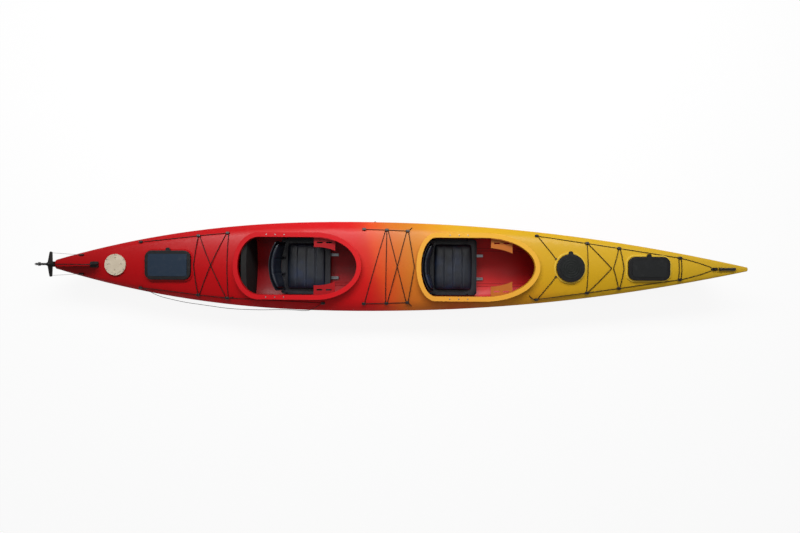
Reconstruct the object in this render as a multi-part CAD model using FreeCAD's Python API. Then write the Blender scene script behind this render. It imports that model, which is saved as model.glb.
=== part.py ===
import FreeCAD
import Part
import math
import os

# A two-seat sea kayak moulded in one piece, with its hatches, seats, foot pedals, deck cords and a
# rudder that flips up on to the stern deck. Millimetres, +X to the bow, +Y to port, +Z up.
# The origin is on the flat of the keel, half way along the hull.

V = FreeCAD.Vector
UP = V(0, 0, 1)

# Hull form
hull_length = 5300.0
hull_beam = 700.0
widest_x = -325.0
bow_tip_width = 24.0
stern_width = 63.0
bow_fullness = 2.1
stern_fullness = 2.25
keel_flat_depth = 2.5
rocker_start = 900.0
bow_rocker = 45.0
stern_rocker = 30.0
stem_rise = 310.0
stem_power = 13.0
sternpost_rise = 170.0
sternpost_power = 18.0
sheer_height = 235.0
bow_sheer_rise = 165.0
stern_sheer_rise = 55.0
shoulder_width = 54.0
shoulder_rise = 42.0
deck_crown = 42.0
shell_wall = 6.0
tip_bevel = 10.0

# Running and seating clearances
seat_gap = 0.3
slide_gap = 0.4
pin_clearance = 0.05

# Cockpit coamings, each an egg outline: round aft end, straight sides, long tapering front
coaming_lip = 30.0
coaming_lip_thickness = 8.0
rear_coaming_x = -1258.0
rear_coaming_aft = 200.0
rear_coaming_side = 437.0
rear_coaming_fore = 350.0
rear_coaming_half = 258.0
front_coaming_x = 150.0
front_coaming_aft = 150.0
front_coaming_side = 370.0
front_coaming_fore = 425.0
front_coaming_half = 262.0
rim_height_aft = 338.0
rim_height_fore = 356.0

# Hatches and deck plate
hatch_step = 12.0
hatch_pad_rise = 2.0
hatch_rim_inset = 14.0
hatch_rim_wall = 5.0
hatch_rim_height = 12.0
hatch_seal_height = 2.0
hatch_cover_top = 5.5
hatch_panel_inset = 26.0
hatch_panel_rise = 3.0
rear_hatch_x = -1758.0
rear_hatch_length = 352.0
rear_hatch_width = 224.0
front_hatch_x = 1919.0
front_hatch_length = 309.0
front_hatch_width = 180.0
hatch_corner = 55.0
day_hatch_x = 1331.0
day_hatch_diameter = 214.0
deck_plate_x = -2169.0
deck_plate_diameter = 164.0
deck_plate_lid_diameter = 136.0
deck_plate_hole_diameter = 118.0

# Foam bulkheads
bulkhead_thickness = 42.0
rear_bulkhead_x = -1160.0
mid_bulkhead_x = 68.0
front_bulkhead_x = 1196.0
bow_bulkhead_x = 1600.0

# Floor ribs in the cockpits
rib_width = 9.0
rib_height = 4.0
rib_inner_y = 133.0
rib_outer_y = 155.0

# Seats
seat_rear_x = -745.0
seat_front_x = 452.0
seat_length = 400.0
seat_width = 456.0
seat_rail_y = 95.0
seat_rail_width = 22.0
seat_rail_length = 520.0
seat_rail_top = 30.0
seat_pan_rise = 42.0
seat_pan_wall = 5.0
seat_pan_flare = 42.0
seat_pan_flare_rise = 30.0
seat_wing_rise = 34.0
seat_wing_thickness = 12.0
seat_pad_thickness = 34.0
seat_pad_channel = 5.0
backrest_height = 180.0
backrest_width = 380.0
backrest_radius = 330.0
backrest_pad_thickness = 38.0
backrest_pad_low = 14.6
backrest_shell_thickness = 6.0
backrest_lean = 12.0
backrest_pin_diameter = 10.0

# Foot rails and pedals
foot_rail_length = 310.0
foot_rail_height = 28.0
foot_rail_depth = 12.0
foot_rail_z = 120.0
rear_foot_rail_x = -250.0
front_foot_rail_x = 840.0
pedal_along_rail = 215.0
pedal_height = 96.0
pedal_drop = 36.0
pedal_width = 78.0
pedal_thickness = 9.0

# Thigh braces
brace_length = 165.0
brace_reach = 74.0
brace_thickness = 6.0
brace_drop = 40.0
rear_brace_x = -640.0
front_brace_x = 725.0

# Rudder
rudder_axis_back = 40.0
rudder_pin_diameter = 10.0
bracket_plate = 8.0
bracket_width = 42.0
bracket_bottom = 212.0
bracket_top = 300.0
lug_thickness = 11.0
lug_radius = 16.0
yoke_half_span = 88.0
yoke_arm_width = 20.0
yoke_arm_thickness = 8.0
yoke_arm_z = 276.0
blade_pivot_back = 36.0
blade_pivot_z = 352.0
blade_pivot_diameter = 8.0
blade_length = 440.0
blade_width = 92.0
blade_root_width = 60.0
blade_thickness = 7.0
cheek_thickness = 5.0
cheek_radius = 24.0
blade_rest_x = -2330.0
blade_rest_length = 60.0
blade_rest_width = 46.0

# Cords and deck fittings
cord_diameter = 6.0
line_diameter = 5.0
lift_line_diameter = 4.0
cable_diameter = 2.4
cable_tube_diameter = 8.0
cable_exit_x = -2440.0
cable_tube_z = 215.0
tube_hole_room = 5.0
fitting_length = 30.0
fitting_width = 20.0
fitting_height = 12.0
small_eye_diameter = 15.0
small_eye_height = 9.0
cord_over_deck = 1.0
cord_run_in = 4.0
toggle_length = 112.0
toggle_diameter = 25.0
toggle_eye_x = 2400.0
toggle_cord_reach = 34.0
coaming_bolt_x = [257.0, 326.0, 395.0]
coaming_bolt_diameter = 10.0
gunwale_eye_x = -174.0

bow_x = hull_length / 2
stern_x = -hull_length / 2
half_beam = hull_beam / 2

made = {}


def save(name, shape):
    """Keep one node and write it out."""
    made[name] = shape
    shape.exportStep("parts/" + name + ".step")


# Hull lines as functions of the station
def half_breadth(x):
    if x >= widest_x:
        run = (x - widest_x) / (bow_x - widest_x)
        tip = bow_tip_width / 2
        return tip + (half_beam - tip) * (1 - run ** bow_fullness)
    run = (widest_x - x) / (widest_x - stern_x)
    tip = stern_width / 2
    return tip + (half_beam - tip) * (1 - run ** stern_fullness)


def keel_height(x):
    run = max(0.0, (abs(x) - rocker_start) / (bow_x - rocker_start))
    if x >= 0:
        return -keel_flat_depth + bow_rocker * run ** 2 + stem_rise * run ** stem_power
    return -keel_flat_depth + stern_rocker * run ** 2 + sternpost_rise * run ** sternpost_power


def gunwale_height(x):
    if x >= 0:
        return sheer_height + bow_sheer_rise * (x / bow_x) ** 2.2
    return sheer_height + stern_sheer_rise * (x / stern_x) ** 2


def crown_height(x):
    share = half_breadth(x) / half_beam
    return gunwale_height(x) + (shoulder_rise + deck_crown) * share


def section(x, inset):
    """Closed hull section: keel, round bilge, gunwale, chamfered shoulder and crowned deck."""
    breadth = half_breadth(x)
    share = breadth / half_beam
    full = 1 - abs(x / bow_x) ** 3
    keel = V(x, 0, keel_height(x) + 1.1 * inset)
    side_y = breadth - inset
    side_z = gunwale_height(x)
    shoulder_y = breadth - shoulder_width * share - 0.35 * inset
    shoulder_z = side_z + shoulder_rise * share - 0.8 * inset
    top_z = crown_height(x) - inset
    bottom_reach = (0.45 + 0.45 * full) * side_y
    bottom_slope = 0.05 + 0.5 * (1 - full)
    side_reach = (0.35 + 0.4 * full) * (side_z - keel.z)
    flat = V(x, bottom_reach, keel.z + bottom_reach * bottom_slope)
    flare = V(x, 0.985 * side_y, side_z - side_reach)
    gunwale = V(x, side_y, side_z)
    shoulder = V(x, shoulder_y, shoulder_z)
    ridge = V(x, 0, 2 * top_z - shoulder_z)
    edges = []
    edges.append(bezier([keel, flat, flare, gunwale]))
    edges.append(Part.makeLine(gunwale, shoulder))
    edges.append(bezier([shoulder, ridge, mirrored(shoulder)]))
    edges.append(Part.makeLine(mirrored(shoulder), mirrored(gunwale)))
    edges.append(bezier([mirrored(gunwale), mirrored(flare), mirrored(flat), keel]))
    return Part.Wire(edges)


def mirrored(point):
    return V(point.x, -point.y, point.z)


def bezier(poles):
    curve = Part.BezierCurve()
    curve.setPoles(poles)
    return curve.toShape()


def shrunk(wire, x, width_share, height_share):
    """The wire moved to x and drawn in towards its middle."""
    box = wire.BoundBox
    middle = (box.ZMin + box.ZMax) / 2
    matrix = FreeCAD.Matrix()
    matrix.move(V(-box.XMin, 0, -middle))
    matrix.scale(1, width_share, height_share)
    matrix.move(V(x, 0, middle))
    return wire.transformGeometry(matrix)


# The stations crowd towards the stem and sternpost, where the lines turn quickest
stern_shares = [0.9962, 0.975, 0.935, 0.87, 0.78, 0.66, 0.52, 0.36, 0.2]
bow_shares = [0.0, 0.15, 0.3, 0.45, 0.6, 0.72, 0.81, 0.88, 0.93, 0.965, 0.985, 0.9962]


def body(inset, stern_end, bow_end):
    """Solid skinned through the stations between two ends."""
    places = [stern_end]
    for share in stern_shares:
        if stern_x * share > stern_end + 20:
            places.append(stern_x * share)
    for share in bow_shares:
        if bow_x * share < bow_end - 20:
            places.append(bow_x * share)
    places.append(bow_end)
    return Part.makeLoft([section(x, inset) for x in places], True, False, False, 3)


skin = body(0.0, stern_x + tip_bevel, bow_x - tip_bevel)
upper_surfaces = [face.Surface for face in skin.Faces if face.normalAt(0.5, 0.5).z > 0.3]


def outer_body():
    """The whole moulding from outside, with bevelled ends and the keel ground flat at z = 0."""
    fore = bow_x - tip_bevel
    aft = stern_x + tip_bevel
    solid = skin
    nose = Part.makeLoft([section(fore, 0.0), shrunk(section(fore, 0.0), bow_x, 0.45, 0.7)], True, True)
    tail = Part.makeLoft([section(aft, 0.0), shrunk(section(aft, 0.0), stern_x, 0.8, 0.9)], True, True)
    solid = solid.fuse([nose, tail])
    ground = Part.makeBox(hull_length, hull_beam, 50, V(stern_x, -half_beam, -50))
    return solid.cut(ground)


def inner_body():
    return body(shell_wall, stern_x + 50, bow_x - 95)


def half_ellipse(centre_x, reach, half, sign, z):
    """Half of an ellipse from one side to the other, bulging to sign along X."""
    arc = Part.Arc(V(0, -sign, 0), V(sign, 0, 0), V(0, sign, 0)).toShape()
    stretch = FreeCAD.Matrix()
    stretch.scale(reach, half, 1)
    arc = arc.transformGeometry(stretch)
    arc.translate(V(centre_x, 0, z))
    return arc


def egg(coaming, inset, z):
    """Egg outline of a coaming, drawn in by inset, from its aft end at x = 0."""
    aft, side, fore, half = coaming
    front = half_ellipse(aft + side, fore - inset, half - inset, 1, z)
    back = half_ellipse(aft, aft - inset, half - inset, -1, z)
    port = Part.makeLine(V(aft + side, half - inset, z), V(aft, half - inset, z))
    starboard = Part.makeLine(V(aft, inset - half, z), V(aft + side, inset - half, z))
    return Part.Wire([front, port, back, starboard])


def prism(wire, height):
    return Part.Face(wire).extrude(V(0, 0, height))


def rounded(length, width, corner, z):
    """Rounded rectangle about the origin."""
    a = length / 2 - corner
    b = width / 2 - corner
    corners = [(a, b, 0), (-a, b, 90), (-a, -b, 180), (a, -b, 270)]
    edges = []
    ends = []
    for x, y, start in corners:
        arc = Part.Arc(Part.Circle(V(x, y, z), UP, corner), math.radians(start), math.radians(start + 90))
        ends.append((arc.StartPoint, arc.EndPoint))
        edges.append(arc.toShape())
    for i in range(4):
        edges.append(Part.makeLine(ends[i][1], ends[(i + 1) % 4][0]))
    return Part.Wire(Part.__sortEdges__(edges))


def disc(diameter, z):
    return Part.Wire(Part.makeCircle(diameter / 2, V(0, 0, z), UP))


rear_egg = (rear_coaming_aft, rear_coaming_side, rear_coaming_fore, rear_coaming_half)
front_egg = (front_coaming_aft, front_coaming_side, front_coaming_fore, front_coaming_half)


def coaming_place(coaming, start_x):
    """Puts a coaming drawn from its aft end, rim at z = 0, on the sloping plane of its rim."""
    length = coaming[0] + coaming[1] + coaming[2]
    tilt = math.degrees(math.atan2(rim_height_fore - rim_height_aft, length))
    return FreeCAD.Placement(V(start_x, 0, rim_height_aft), FreeCAD.Rotation(V(0, 1, 0), -tilt))


def placed(shape, place):
    copy = shape.copy()
    copy.Placement = place.multiply(copy.Placement)
    return copy


rear_place = coaming_place(rear_egg, rear_coaming_x)
front_place = coaming_place(front_egg, front_coaming_x)


def deck_place(x):
    """Frame on the crown of the deck, tilted along the sheer."""
    slope = (crown_height(x + 50) - crown_height(x - 50)) / 100
    tilt = math.degrees(math.atan(slope))
    return FreeCAD.Placement(V(x, 0, crown_height(x)), FreeCAD.Rotation(V(0, 1, 0), -tilt))


def rear_hatch(inset, z):
    corner = hatch_corner - inset
    return rounded(rear_hatch_length - 2 * inset, rear_hatch_width - 2 * inset, corner, z)


def front_hatch(inset, z):
    corner = hatch_corner - inset
    return rounded(front_hatch_length - 2 * inset, front_hatch_width - 2 * inset, corner, z)


def day_hatch(inset, z):
    return disc(day_hatch_diameter - 2 * inset, z)


hatches = [("rear", rear_hatch, rear_hatch_x), ("front", front_hatch, front_hatch_x)]
hatches.append(("day", day_hatch, day_hatch_x))


def hull():
    """One moulding: outer body with coamings, hatch pads and rims, less the inside and the openings."""
    outside = [outer_solid]
    inside = [inner_solid]
    for coaming, place in [(rear_egg, rear_place), (front_egg, front_place)]:
        wall = prism(egg(coaming, coaming_lip, -100), 100 - 0.5)
        lip = prism(egg(coaming, 0.0, -coaming_lip_thickness), coaming_lip_thickness)
        hole = prism(egg(coaming, coaming_lip + shell_wall, -120), 140)
        outside.append(placed(wall, place))
        outside.append(placed(lip, place))
        inside.append(placed(hole, place))
    for name, outline, x in hatches:
        place = deck_place(x)
        pad = prism(outline(-hatch_step, -30), 30 + hatch_pad_rise)
        rim = prism(outline(hatch_rim_inset, -30), 30 + hatch_rim_height)
        hole = prism(outline(hatch_rim_inset + hatch_rim_wall, -70), 100)
        outside.append(placed(pad, place))
        outside.append(placed(rim, place))
        inside.append(placed(hole, place))
    place = deck_place(deck_plate_x)
    outside.append(placed(prism(disc(deck_plate_diameter + 8, -20), 20 + hatch_pad_rise), place))
    inside.append(placed(prism(disc(deck_plate_hole_diameter, -70), 100), place))
    shell = outside[0].fuse(outside[1:])
    shell = shell.cut(inside[0].fuse(inside[1:]))
    return shell


outer_solid = outer_body()
inner_solid = inner_body()


def deck_point(x, y, lift):
    """Point above the deck at (x, y), lifted square to it, and the deck's normal there."""
    def height(px, py):
        line = Part.Line(V(px, py, 0), V(px, py, 1))
        meets = [line.intersect(surface)[0] for surface in upper_surfaces]
        return max(point.Z for found in meets for point in found)
    base = V(x, y, height(x, y))
    along = V(x + 4, y, height(x + 4, y)) - base
    across = V(x, y + 4, height(x, y + 4)) - base
    normal = along.cross(across)
    normal.normalize()
    return base + normal * lift, normal


floor_room = inner_solid.copy()
floor_room.translate(V(0, 0, seat_gap))


def floor_height(x, y):
    line = Part.makeLine(V(x, y, -20), V(x, y, 150))
    return inner_solid.common(line).BoundBox.ZMin


def side_reach_at(x, z):
    """Half breadth inside the shell at a height."""
    line = Part.makeLine(V(x, 0, z), V(x, half_beam, z))
    return inner_solid.common(line).BoundBox.YMax


def floor_ribs():
    """Stiffening ribs moulded along the floor of both cockpits."""
    ribs = []
    spans = [(rear_bulkhead_x + 20, mid_bulkhead_x - 40), (front_coaming_x + 60, front_bulkhead_x - 40)]
    for start, end in spans:
        for y in (rib_inner_y, rib_outer_y, -rib_inner_y, -rib_outer_y):
            low = floor_height((start + end) / 2, y)
            at = V(start, y - rib_width / 2, low - shell_wall / 2)
            rib = Part.makeBox(end - start, rib_width, shell_wall / 2 + rib_height, at)
            ribs.append(rib.common(outer_solid))
    return ribs


def bulkhead(start):
    """Foam wall that fills the hull from side to side."""
    inset = shell_wall + 2 * seat_gap
    slab = Part.makeLoft([section(start, inset), section(start + bulkhead_thickness, inset)], True, True)
    for y in (1, -1):
        tube_y = y * cable_side(start + bulkhead_thickness / 2)
        hole = Part.makeCylinder(cable_tube_diameter / 2 + tube_hole_room, bulkhead_thickness + 80,
                                 V(start - 40, tube_y, cable_tube_z), V(1, 0, 0))
        slab = slab.cut(hole)
    return slab


def cable_side(x):
    """Where the cable tube lies beside the inside of the hull."""
    return side_reach_at(x, cable_tube_z) - cable_tube_diameter / 2 - 2 * seat_gap


# Tube of straight runs joined by the largest tangent arcs that fit
def tube(points, diameter, name=None):
    edges = []
    radii = []
    start = points[0]
    for i in range(1, len(points) - 1):
        before = points[i] - points[i - 1]
        after = points[i + 1] - points[i]
        short = 0.45 * min(before.Length, after.Length)
        before.normalize()
        after.normalize()
        half_turn = before.getAngle(after) / 2
        radius = short / math.tan(half_turn)
        radii.append(radius)
        entry = points[i] - before * short
        leave = points[i] + after * short
        inward = after - before
        inward.normalize()
        centre = points[i] + inward * (radius / math.cos(half_turn))
        edges.append(Part.makeLine(start, entry))
        edges.append(Part.Arc(entry, centre - inward * radius, leave).toShape())
        start = leave
    edges.append(Part.makeLine(start, points[-1]))
    path = Part.Wire(edges)
    direction = points[1] - points[0]
    ring = Part.Wire(Part.makeCircle(diameter / 2, points[0], direction))
    solid = path.makePipeShell([ring], True, False)
    if name:
        area = math.pi * diameter ** 2 / 4
        share = solid.Volume / (area * path.Length)
        text = "%s length %.0f least radius %.0f volume share %.4f"
        print(text % (name, path.Length, min(radii), share))
    return solid


def group(shapes):
    return Part.makeCompound(shapes)


# Hatch covers: a cap over the rim with a raised panel and a lifting tab
def hatch_cover(outline):
    bottom = hatch_pad_rise + seat_gap
    ceiling = hatch_rim_height + hatch_seal_height + seat_gap
    top = ceiling + hatch_cover_top
    cap = prism(outline(0.0, bottom), top - bottom)
    cavity = prism(outline(hatch_rim_inset - slide_gap, bottom), ceiling - bottom)
    plug = prism(outline(hatch_rim_inset + hatch_rim_wall + 1, -4), ceiling + 4)
    plug = plug.cut(prism(outline(hatch_rim_inset + hatch_rim_wall + 5, -4), ceiling + 4))
    panel = prism(outline(hatch_panel_inset, top - 1), 1 + hatch_panel_rise)
    rounded_edges = [e for e in cap.Edges if abs(e.BoundBox.ZMin - top) < 0.01 and e.BoundBox.ZLength < 0.01]
    cap = cap.makeFillet(3.0, rounded_edges)
    cap = cap.cut(cavity)
    return cap.fuse([plug, panel]).removeSplitter()


def hatch_tab(outline):
    """Pull tab on the port edge of a cover."""
    edge = outline(0.0, 0).BoundBox.YMax
    tab = prism(rounded(34, 32, 12, hatch_pad_rise + seat_gap + 8), 5)
    tab.translate(V(0, edge + 5, 0))
    return tab


def deck_seal(outline):
    seal = prism(outline(hatch_rim_inset, hatch_rim_height), hatch_seal_height)
    return seal.cut(prism(outline(hatch_rim_inset + hatch_rim_wall, hatch_rim_height), hatch_seal_height))


# Seats
def cushion(width, length, thickness, channels):
    """Crowned pad along X, drawn in at its sides, with sewn channels across its top."""
    count = 4 * channels + 1
    sections = []
    for i in range(count):
        share = i / (count - 1)
        x = length * (share - 0.5)
        ends = math.sqrt(max(0.0, 1 - abs(2 * share - 1) ** 6))
        low = 0.55 + 0.45 * ends
        dip = seat_pad_channel if i % 4 == 0 and 0 < i < count - 1 else 0.0
        half = width / 2 * (0.9 + 0.1 * ends)
        height = thickness * low - dip
        left = V(x, -half + 6, 0)
        right = V(x, half - 6, 0)
        left_top = V(x, -half + 8, height * 0.72)
        right_top = V(x, half - 8, height * 0.72)
        edges = []
        edges.append(Part.makeLine(left, right))
        edges.append(Part.Arc(right, V(x, half, height * 0.36), right_top).toShape())
        edges.append(Part.Arc(right_top, V(x, 0, height), left_top).toShape())
        edges.append(Part.Arc(left_top, V(x, -half, height * 0.36), left).toShape())
        sections.append(Part.Wire(edges))
    return Part.makeLoft(sections, True, False, False, 3)


def seat_pan():
    """Moulded tray with raised front edge and a wing on each side, open below, on two grooved runners."""
    base = seat_rail_top + seat_gap
    half = seat_width / 2
    back = -seat_length / 2
    front = seat_length / 2
    top = base + seat_pan_rise
    profile = [V(back, -half, base), V(back, -half, top + 14), V(back + 30, -half, top + 4)]
    profile += [V(front - 110, -half, top - 6), V(front - 40, -half, top + 16), V(front, -half, top + 8)]
    profile += [V(front, -half, base), V(back, -half, base)]
    solid = Part.Face(Part.makePolygon(profile)).extrude(V(0, seat_width, 0))
    uprights = [e for e in solid.Edges if e.BoundBox.XLength < 0.01 and e.BoundBox.YLength < 0.01]
    solid = solid.makeFillet(26.0, uprights)
    side_wall = seat_pan_wall + seat_pan_flare
    hollow = Part.makeBox(seat_length - 2 * seat_pan_wall, seat_width - 2 * side_wall,
                          seat_pan_rise - 6 - seat_pan_wall,
                          V(back + seat_pan_wall, -half + side_wall, base))
    solid = solid.cut(hollow)
    for side in (1, -1):
        inner = V(back - 1, side * (half - seat_pan_flare), base)
        outer = V(back - 1, side * half, base)
        upper = V(back - 1, side * half, base + seat_pan_flare_rise)
        corner = Part.Face(Part.makePolygon([inner, outer, upper, inner]))
        solid = solid.cut(corner.extrude(V(seat_length + 2, 0, 0)))
        wing_y = half - seat_wing_thickness if side > 0 else -half
        wing = Part.makeBox(seat_length - 110, seat_wing_thickness, seat_wing_rise + 10,
                            V(back + 40, wing_y, top - 10))
        ends = [e for e in wing.Edges if e.BoundBox.XLength < 0.01 and e.BoundBox.ZMin > top + seat_wing_rise - 0.01]
        solid = solid.fuse(wing.makeFillet(seat_wing_rise - 6, ends))
    for y in (seat_rail_y, -seat_rail_y):
        runner = Part.makeBox(seat_length - 2 * seat_pan_wall + 4, seat_rail_width + 16, seat_pan_rise - 8,
                              V(back + seat_pan_wall - 2, y - seat_rail_width / 2 - 8, base))
        solid = solid.fuse(runner)
    return solid.removeSplitter()


def seat_rails(x):
    """Two tracks on the floor that the pan slides along."""
    rails = []
    for y in (seat_rail_y, -seat_rail_y):
        track = Part.makeBox(seat_rail_length, seat_rail_width, seat_rail_top,
                             V(x - seat_rail_length / 2, y - seat_rail_width / 2, 0))
        groove = Part.makeBox(seat_rail_length - 30, 8, 6,
                              V(x - seat_rail_length / 2 + 15, y - 4, seat_rail_top - 6))
        rails.append(track.cut(groove).common(floor_room))
    return group(rails)


def backrest_body(radius, thickness, height, corner):
    """Panel bent round the back of the seat, upright, its bottom at z = 0."""
    ring = Part.makeCylinder(radius + thickness, height).cut(Part.makeCylinder(radius, height))
    half = math.degrees(math.asin(backrest_width / 2 / radius))
    wedge = Part.makeCylinder(radius + thickness, height, V(0, 0, 0), UP, 2 * half)
    wedge.rotate(V(0, 0, 0), UP, 180 - half)
    panel = ring.common(wedge)
    upper = [e for e in panel.Edges if abs(e.BoundBox.ZMin - height) < 0.01 and e.Length < thickness * 1.5]
    panel = panel.makeFillet(corner, upper)
    panel.translate(V(radius, 0, 0))
    return panel


def backrest_pad():
    """Padded face of the backrest, fatter at its middle and drawn in at its edges."""
    sections = []
    count = 9
    half = math.asin((backrest_width / 2 - 6) / backrest_radius)
    for i in range(count):
        share = i / (count - 1)
        angle = math.pi + half * (2 * share - 1)
        ends = math.sqrt(max(0.0, 1 - abs(2 * share - 1) ** 4))
        depth = backrest_pad_thickness * (0.45 + 0.55 * ends)
        tall = backrest_height - 14 - 34 * (1 - ends)
        out = V(math.cos(angle), math.sin(angle), 0)
        outer = backrest_radius - seat_gap

        def at(inward, z):
            return V(backrest_radius, 0, 0) + out * (outer - inward) + V(0, 0, z)
        edges = []
        low = backrest_pad_low
        edges.append(Part.makeLine(at(0, low), at(0, tall)))
        edges.append(Part.Arc(at(0, tall), at(depth * 0.45, tall + 6), at(depth * 0.8, tall - 8)).toShape())
        edges.append(Part.Arc(at(depth * 0.8, tall - 8), at(depth, (low + tall) / 2),
                              at(depth * 0.8, low + 8)).toShape())
        edges.append(Part.Arc(at(depth * 0.8, low + 8), at(depth * 0.45, low - 4), at(0, low)).toShape())
        sections.append(Part.Wire(edges))
    return Part.makeLoft(sections, True, False, False, 3)


def backrest_shell():
    """Plastic back with two hinge ears at its foot."""
    shell = backrest_body(backrest_radius, backrest_shell_thickness, backrest_height, 24.0)
    for y in (1, -1):
        ear = Part.makeBox(30, 8, 34, V(4, y * 66 - 4, -24))
        knuckle = Part.makeCylinder(12, 8, V(19, y * 66 - 4, -24), V(0, 1, 0))
        shell = shell.fuse([ear, knuckle])
    for y in (1, -1):
        bore = Part.makeCylinder(backrest_pin_diameter / 2 + pin_clearance, 40,
                                 V(19, y * 66 - 20, -24), V(0, 1, 0))
        shell = shell.cut(bore)
    return shell


def backrest_pins():
    """Hinge pins that stand out of two posts on the pan."""
    parts = []
    for y in (1, -1):
        pin = Part.makeCylinder(backrest_pin_diameter / 2, 24, V(19, y * 66 - 12, -24), V(0, 1, 0))
        parts.append(pin)
    return parts


def build_seat(label, x):
    """Rails, pan, pad, backrest and hinge for one paddler."""
    pan = seat_pan()
    top = seat_rail_top + seat_gap + seat_pan_rise
    back = -seat_length / 2
    hinge = V(back - 6, 0, top + 38)
    posts = []
    for y in (1, -1):
        notch = Part.makeBox(40, 8 + 2 * (8 + slide_gap), 40, V(back - 2, y * 66 - 12 - slide_gap, top + 0.5))
        pan = pan.cut(notch)
        for side in (1, -1):
            y_at = y * 66 + side * (8 + slide_gap) - 4
            post = Part.makeBox(34, 8, hinge.z - 15 - (top - 10), V(hinge.x + 2, y_at, top - 10))
            bore = Part.makeCylinder(backrest_pin_diameter / 2, 8, V(hinge.x + 19, y_at, hinge.z - 24), V(0, 1, 0))
            posts.append(post.cut(bore))
    pan = pan.fuse(posts).removeSplitter()
    pan.translate(V(x, 0, 0))
    save("seat_pan_" + label, pan)
    pad = cushion(seat_width - 70, seat_length - 90, seat_pad_thickness, 3)
    pad.translate(V(x + 6, 0, top + 6 + seat_gap))
    pad = pad.cut(pan)
    save("seat_pad_" + label, pad)
    save("seat_rails_" + label, seat_rails(x))
    shell = backrest_shell()
    cover = backrest_pad()
    pins = group(backrest_pins())
    for shape in (shell, cover):
        shape.rotate(V(19, 0, -24), V(0, 1, 0), -backrest_lean)
    for shape in (shell, cover, pins):
        shape.translate(V(x, 0, 0) + hinge)
    save("backrest_shell_" + label, shell)
    save("backrest_pad_" + label, cover)
    save("backrest_pins_" + label, pins)


# Foot rails and pedals
def rail_frame(x, side):
    """Frame at the aft end of a foot rail, X along the rail, Y outboard, beside the hull's inside."""
    low = foot_rail_z - foot_rail_height / 2
    start = min(side_reach_at(x, low), side_reach_at(x, low + foot_rail_height)) - seat_gap
    end_x = x + foot_rail_length
    end = min(side_reach_at(end_x, low), side_reach_at(end_x, low + foot_rail_height)) - seat_gap
    turn = math.degrees(math.atan2(end - start, foot_rail_length))
    return start, turn


def foot_rail(x, side):
    start, turn = rail_frame(x, side)
    rail = Part.makeBox(foot_rail_length, foot_rail_depth, foot_rail_height,
                        V(0, -foot_rail_depth, -foot_rail_height / 2))
    slot = Part.makeBox(foot_rail_length - 40, 5, 8, V(20, -foot_rail_depth, -4))
    rail = rail.cut(slot)
    return seat_on_side(rail, x, start, turn, side)


def seat_on_side(shape, x, start, turn, side):
    copy = shape.copy()
    copy.rotate(V(0, 0, 0), UP, turn)
    copy.translate(V(x, start, foot_rail_z))
    if side < 0:
        copy = copy.mirror(V(0, 0, 0), V(0, 1, 0))
    return copy


def pedal(x, side):
    """Carriage that wraps the rail, with a ribbed foot plate standing inboard."""
    start, turn = rail_frame(x, side)
    middle = pedal_along_rail
    tall = foot_rail_height + 14
    carriage = Part.makeBox(62, 11.4, tall, V(middle - 31, -foot_rail_depth - 9, -tall / 2))
    tongue = Part.makeBox(54, 4.6, 8 - 2 * slide_gap, V(middle - 27, -foot_rail_depth - 1, -4 + slide_gap))
    gap = Part.makeBox(62, foot_rail_depth + 10, foot_rail_height + 2 * slide_gap,
                       V(middle - 31, -foot_rail_depth - slide_gap, -foot_rail_height / 2 - slide_gap))
    carriage = carriage.cut(gap)
    plate = Part.makeBox(pedal_thickness, pedal_width, pedal_height,
                         V(middle - 20, -foot_rail_depth - 8 - pedal_width, -pedal_drop))
    uprights = [e for e in plate.Edges if e.BoundBox.YLength < 0.01 and e.BoundBox.ZLength < 0.01]
    plate = plate.makeFillet(18.0, uprights)
    ribs = []
    for i in range(5):
        low = -pedal_drop + 10 + i * 18
        ribs.append(Part.makeBox(4, pedal_width - 24, 5,
                                 V(middle - 24, -foot_rail_depth + 4 - pedal_width, low)))
    strut = Part.makeBox(26, 20, 26, V(middle - 12, -foot_rail_depth - 28, -13))
    solid = carriage.fuse([tongue, plate, strut] + ribs).removeSplitter()
    return seat_on_side(solid, x, start, turn, side)


# Thigh braces: curved plates with slots, hung inside the coaming wall
def thigh_brace(coaming, place, x, side):
    """Flange down the coaming's wall and a slotted plate under the rim, cut from two bands."""
    local_x = x - place.Base.x
    inset = coaming_lip + shell_wall
    zone = Part.makeBox(brace_length, 400, 200, V(local_x, 0 if side > 0 else -400, -150))

    def band(width, height):
        outer = prism(egg(coaming, inset + seat_gap, -brace_drop), height).common(zone)
        inner = prism(egg(coaming, inset + seat_gap + width, -brace_drop - 1), height + 2).common(zone)
        return outer.cut(inner)
    solid = band(brace_thickness, brace_drop - 4).fuse(band(brace_reach, brace_thickness))
    edge = coaming[3] - inset - brace_reach
    for i in range(2):
        slot = prism(rounded(46, 12, 5.9, -brace_drop - 1), brace_thickness + 2)
        slot.translate(V(local_x + 45 + i * 72, side * (edge + 34), 0))
        solid = solid.cut(slot)
    return placed(solid, place)


# Deck fittings and cords
stern_fitting = (-1986.0, 174.0)
fitting_a = (-1539.0, 228.0)
fitting_b = (-1313.0, 251.0)
fitting_1 = (-255.0, 288.0)
fitting_2 = (-79.0, 284.0)
fitting_3 = (83.0, 277.0)
fitting_d = (1084.0, 244.0)
fitting_e = (1466.0, 190.0)
fitting_f = (1705.0, 153.0)
fitting_g = (2154.0, 82.0)
day_hatch_eye = (1222.0, 69.0)
lift_guide = (-571.0, -286.0)


def fitting(x, y):
    """Moulded loop block seated square on the deck."""
    base, normal = deck_point(x, y, seat_gap)
    block = prism(rounded(fitting_length, fitting_width, 8, 0), fitting_height)
    upper = [e for e in block.Edges if abs(e.BoundBox.ZMin - fitting_height) < 0.01]
    block = block.makeFillet(3.5, upper)
    block.Placement = FreeCAD.Placement(base, FreeCAD.Rotation(UP, normal))
    return block


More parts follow.
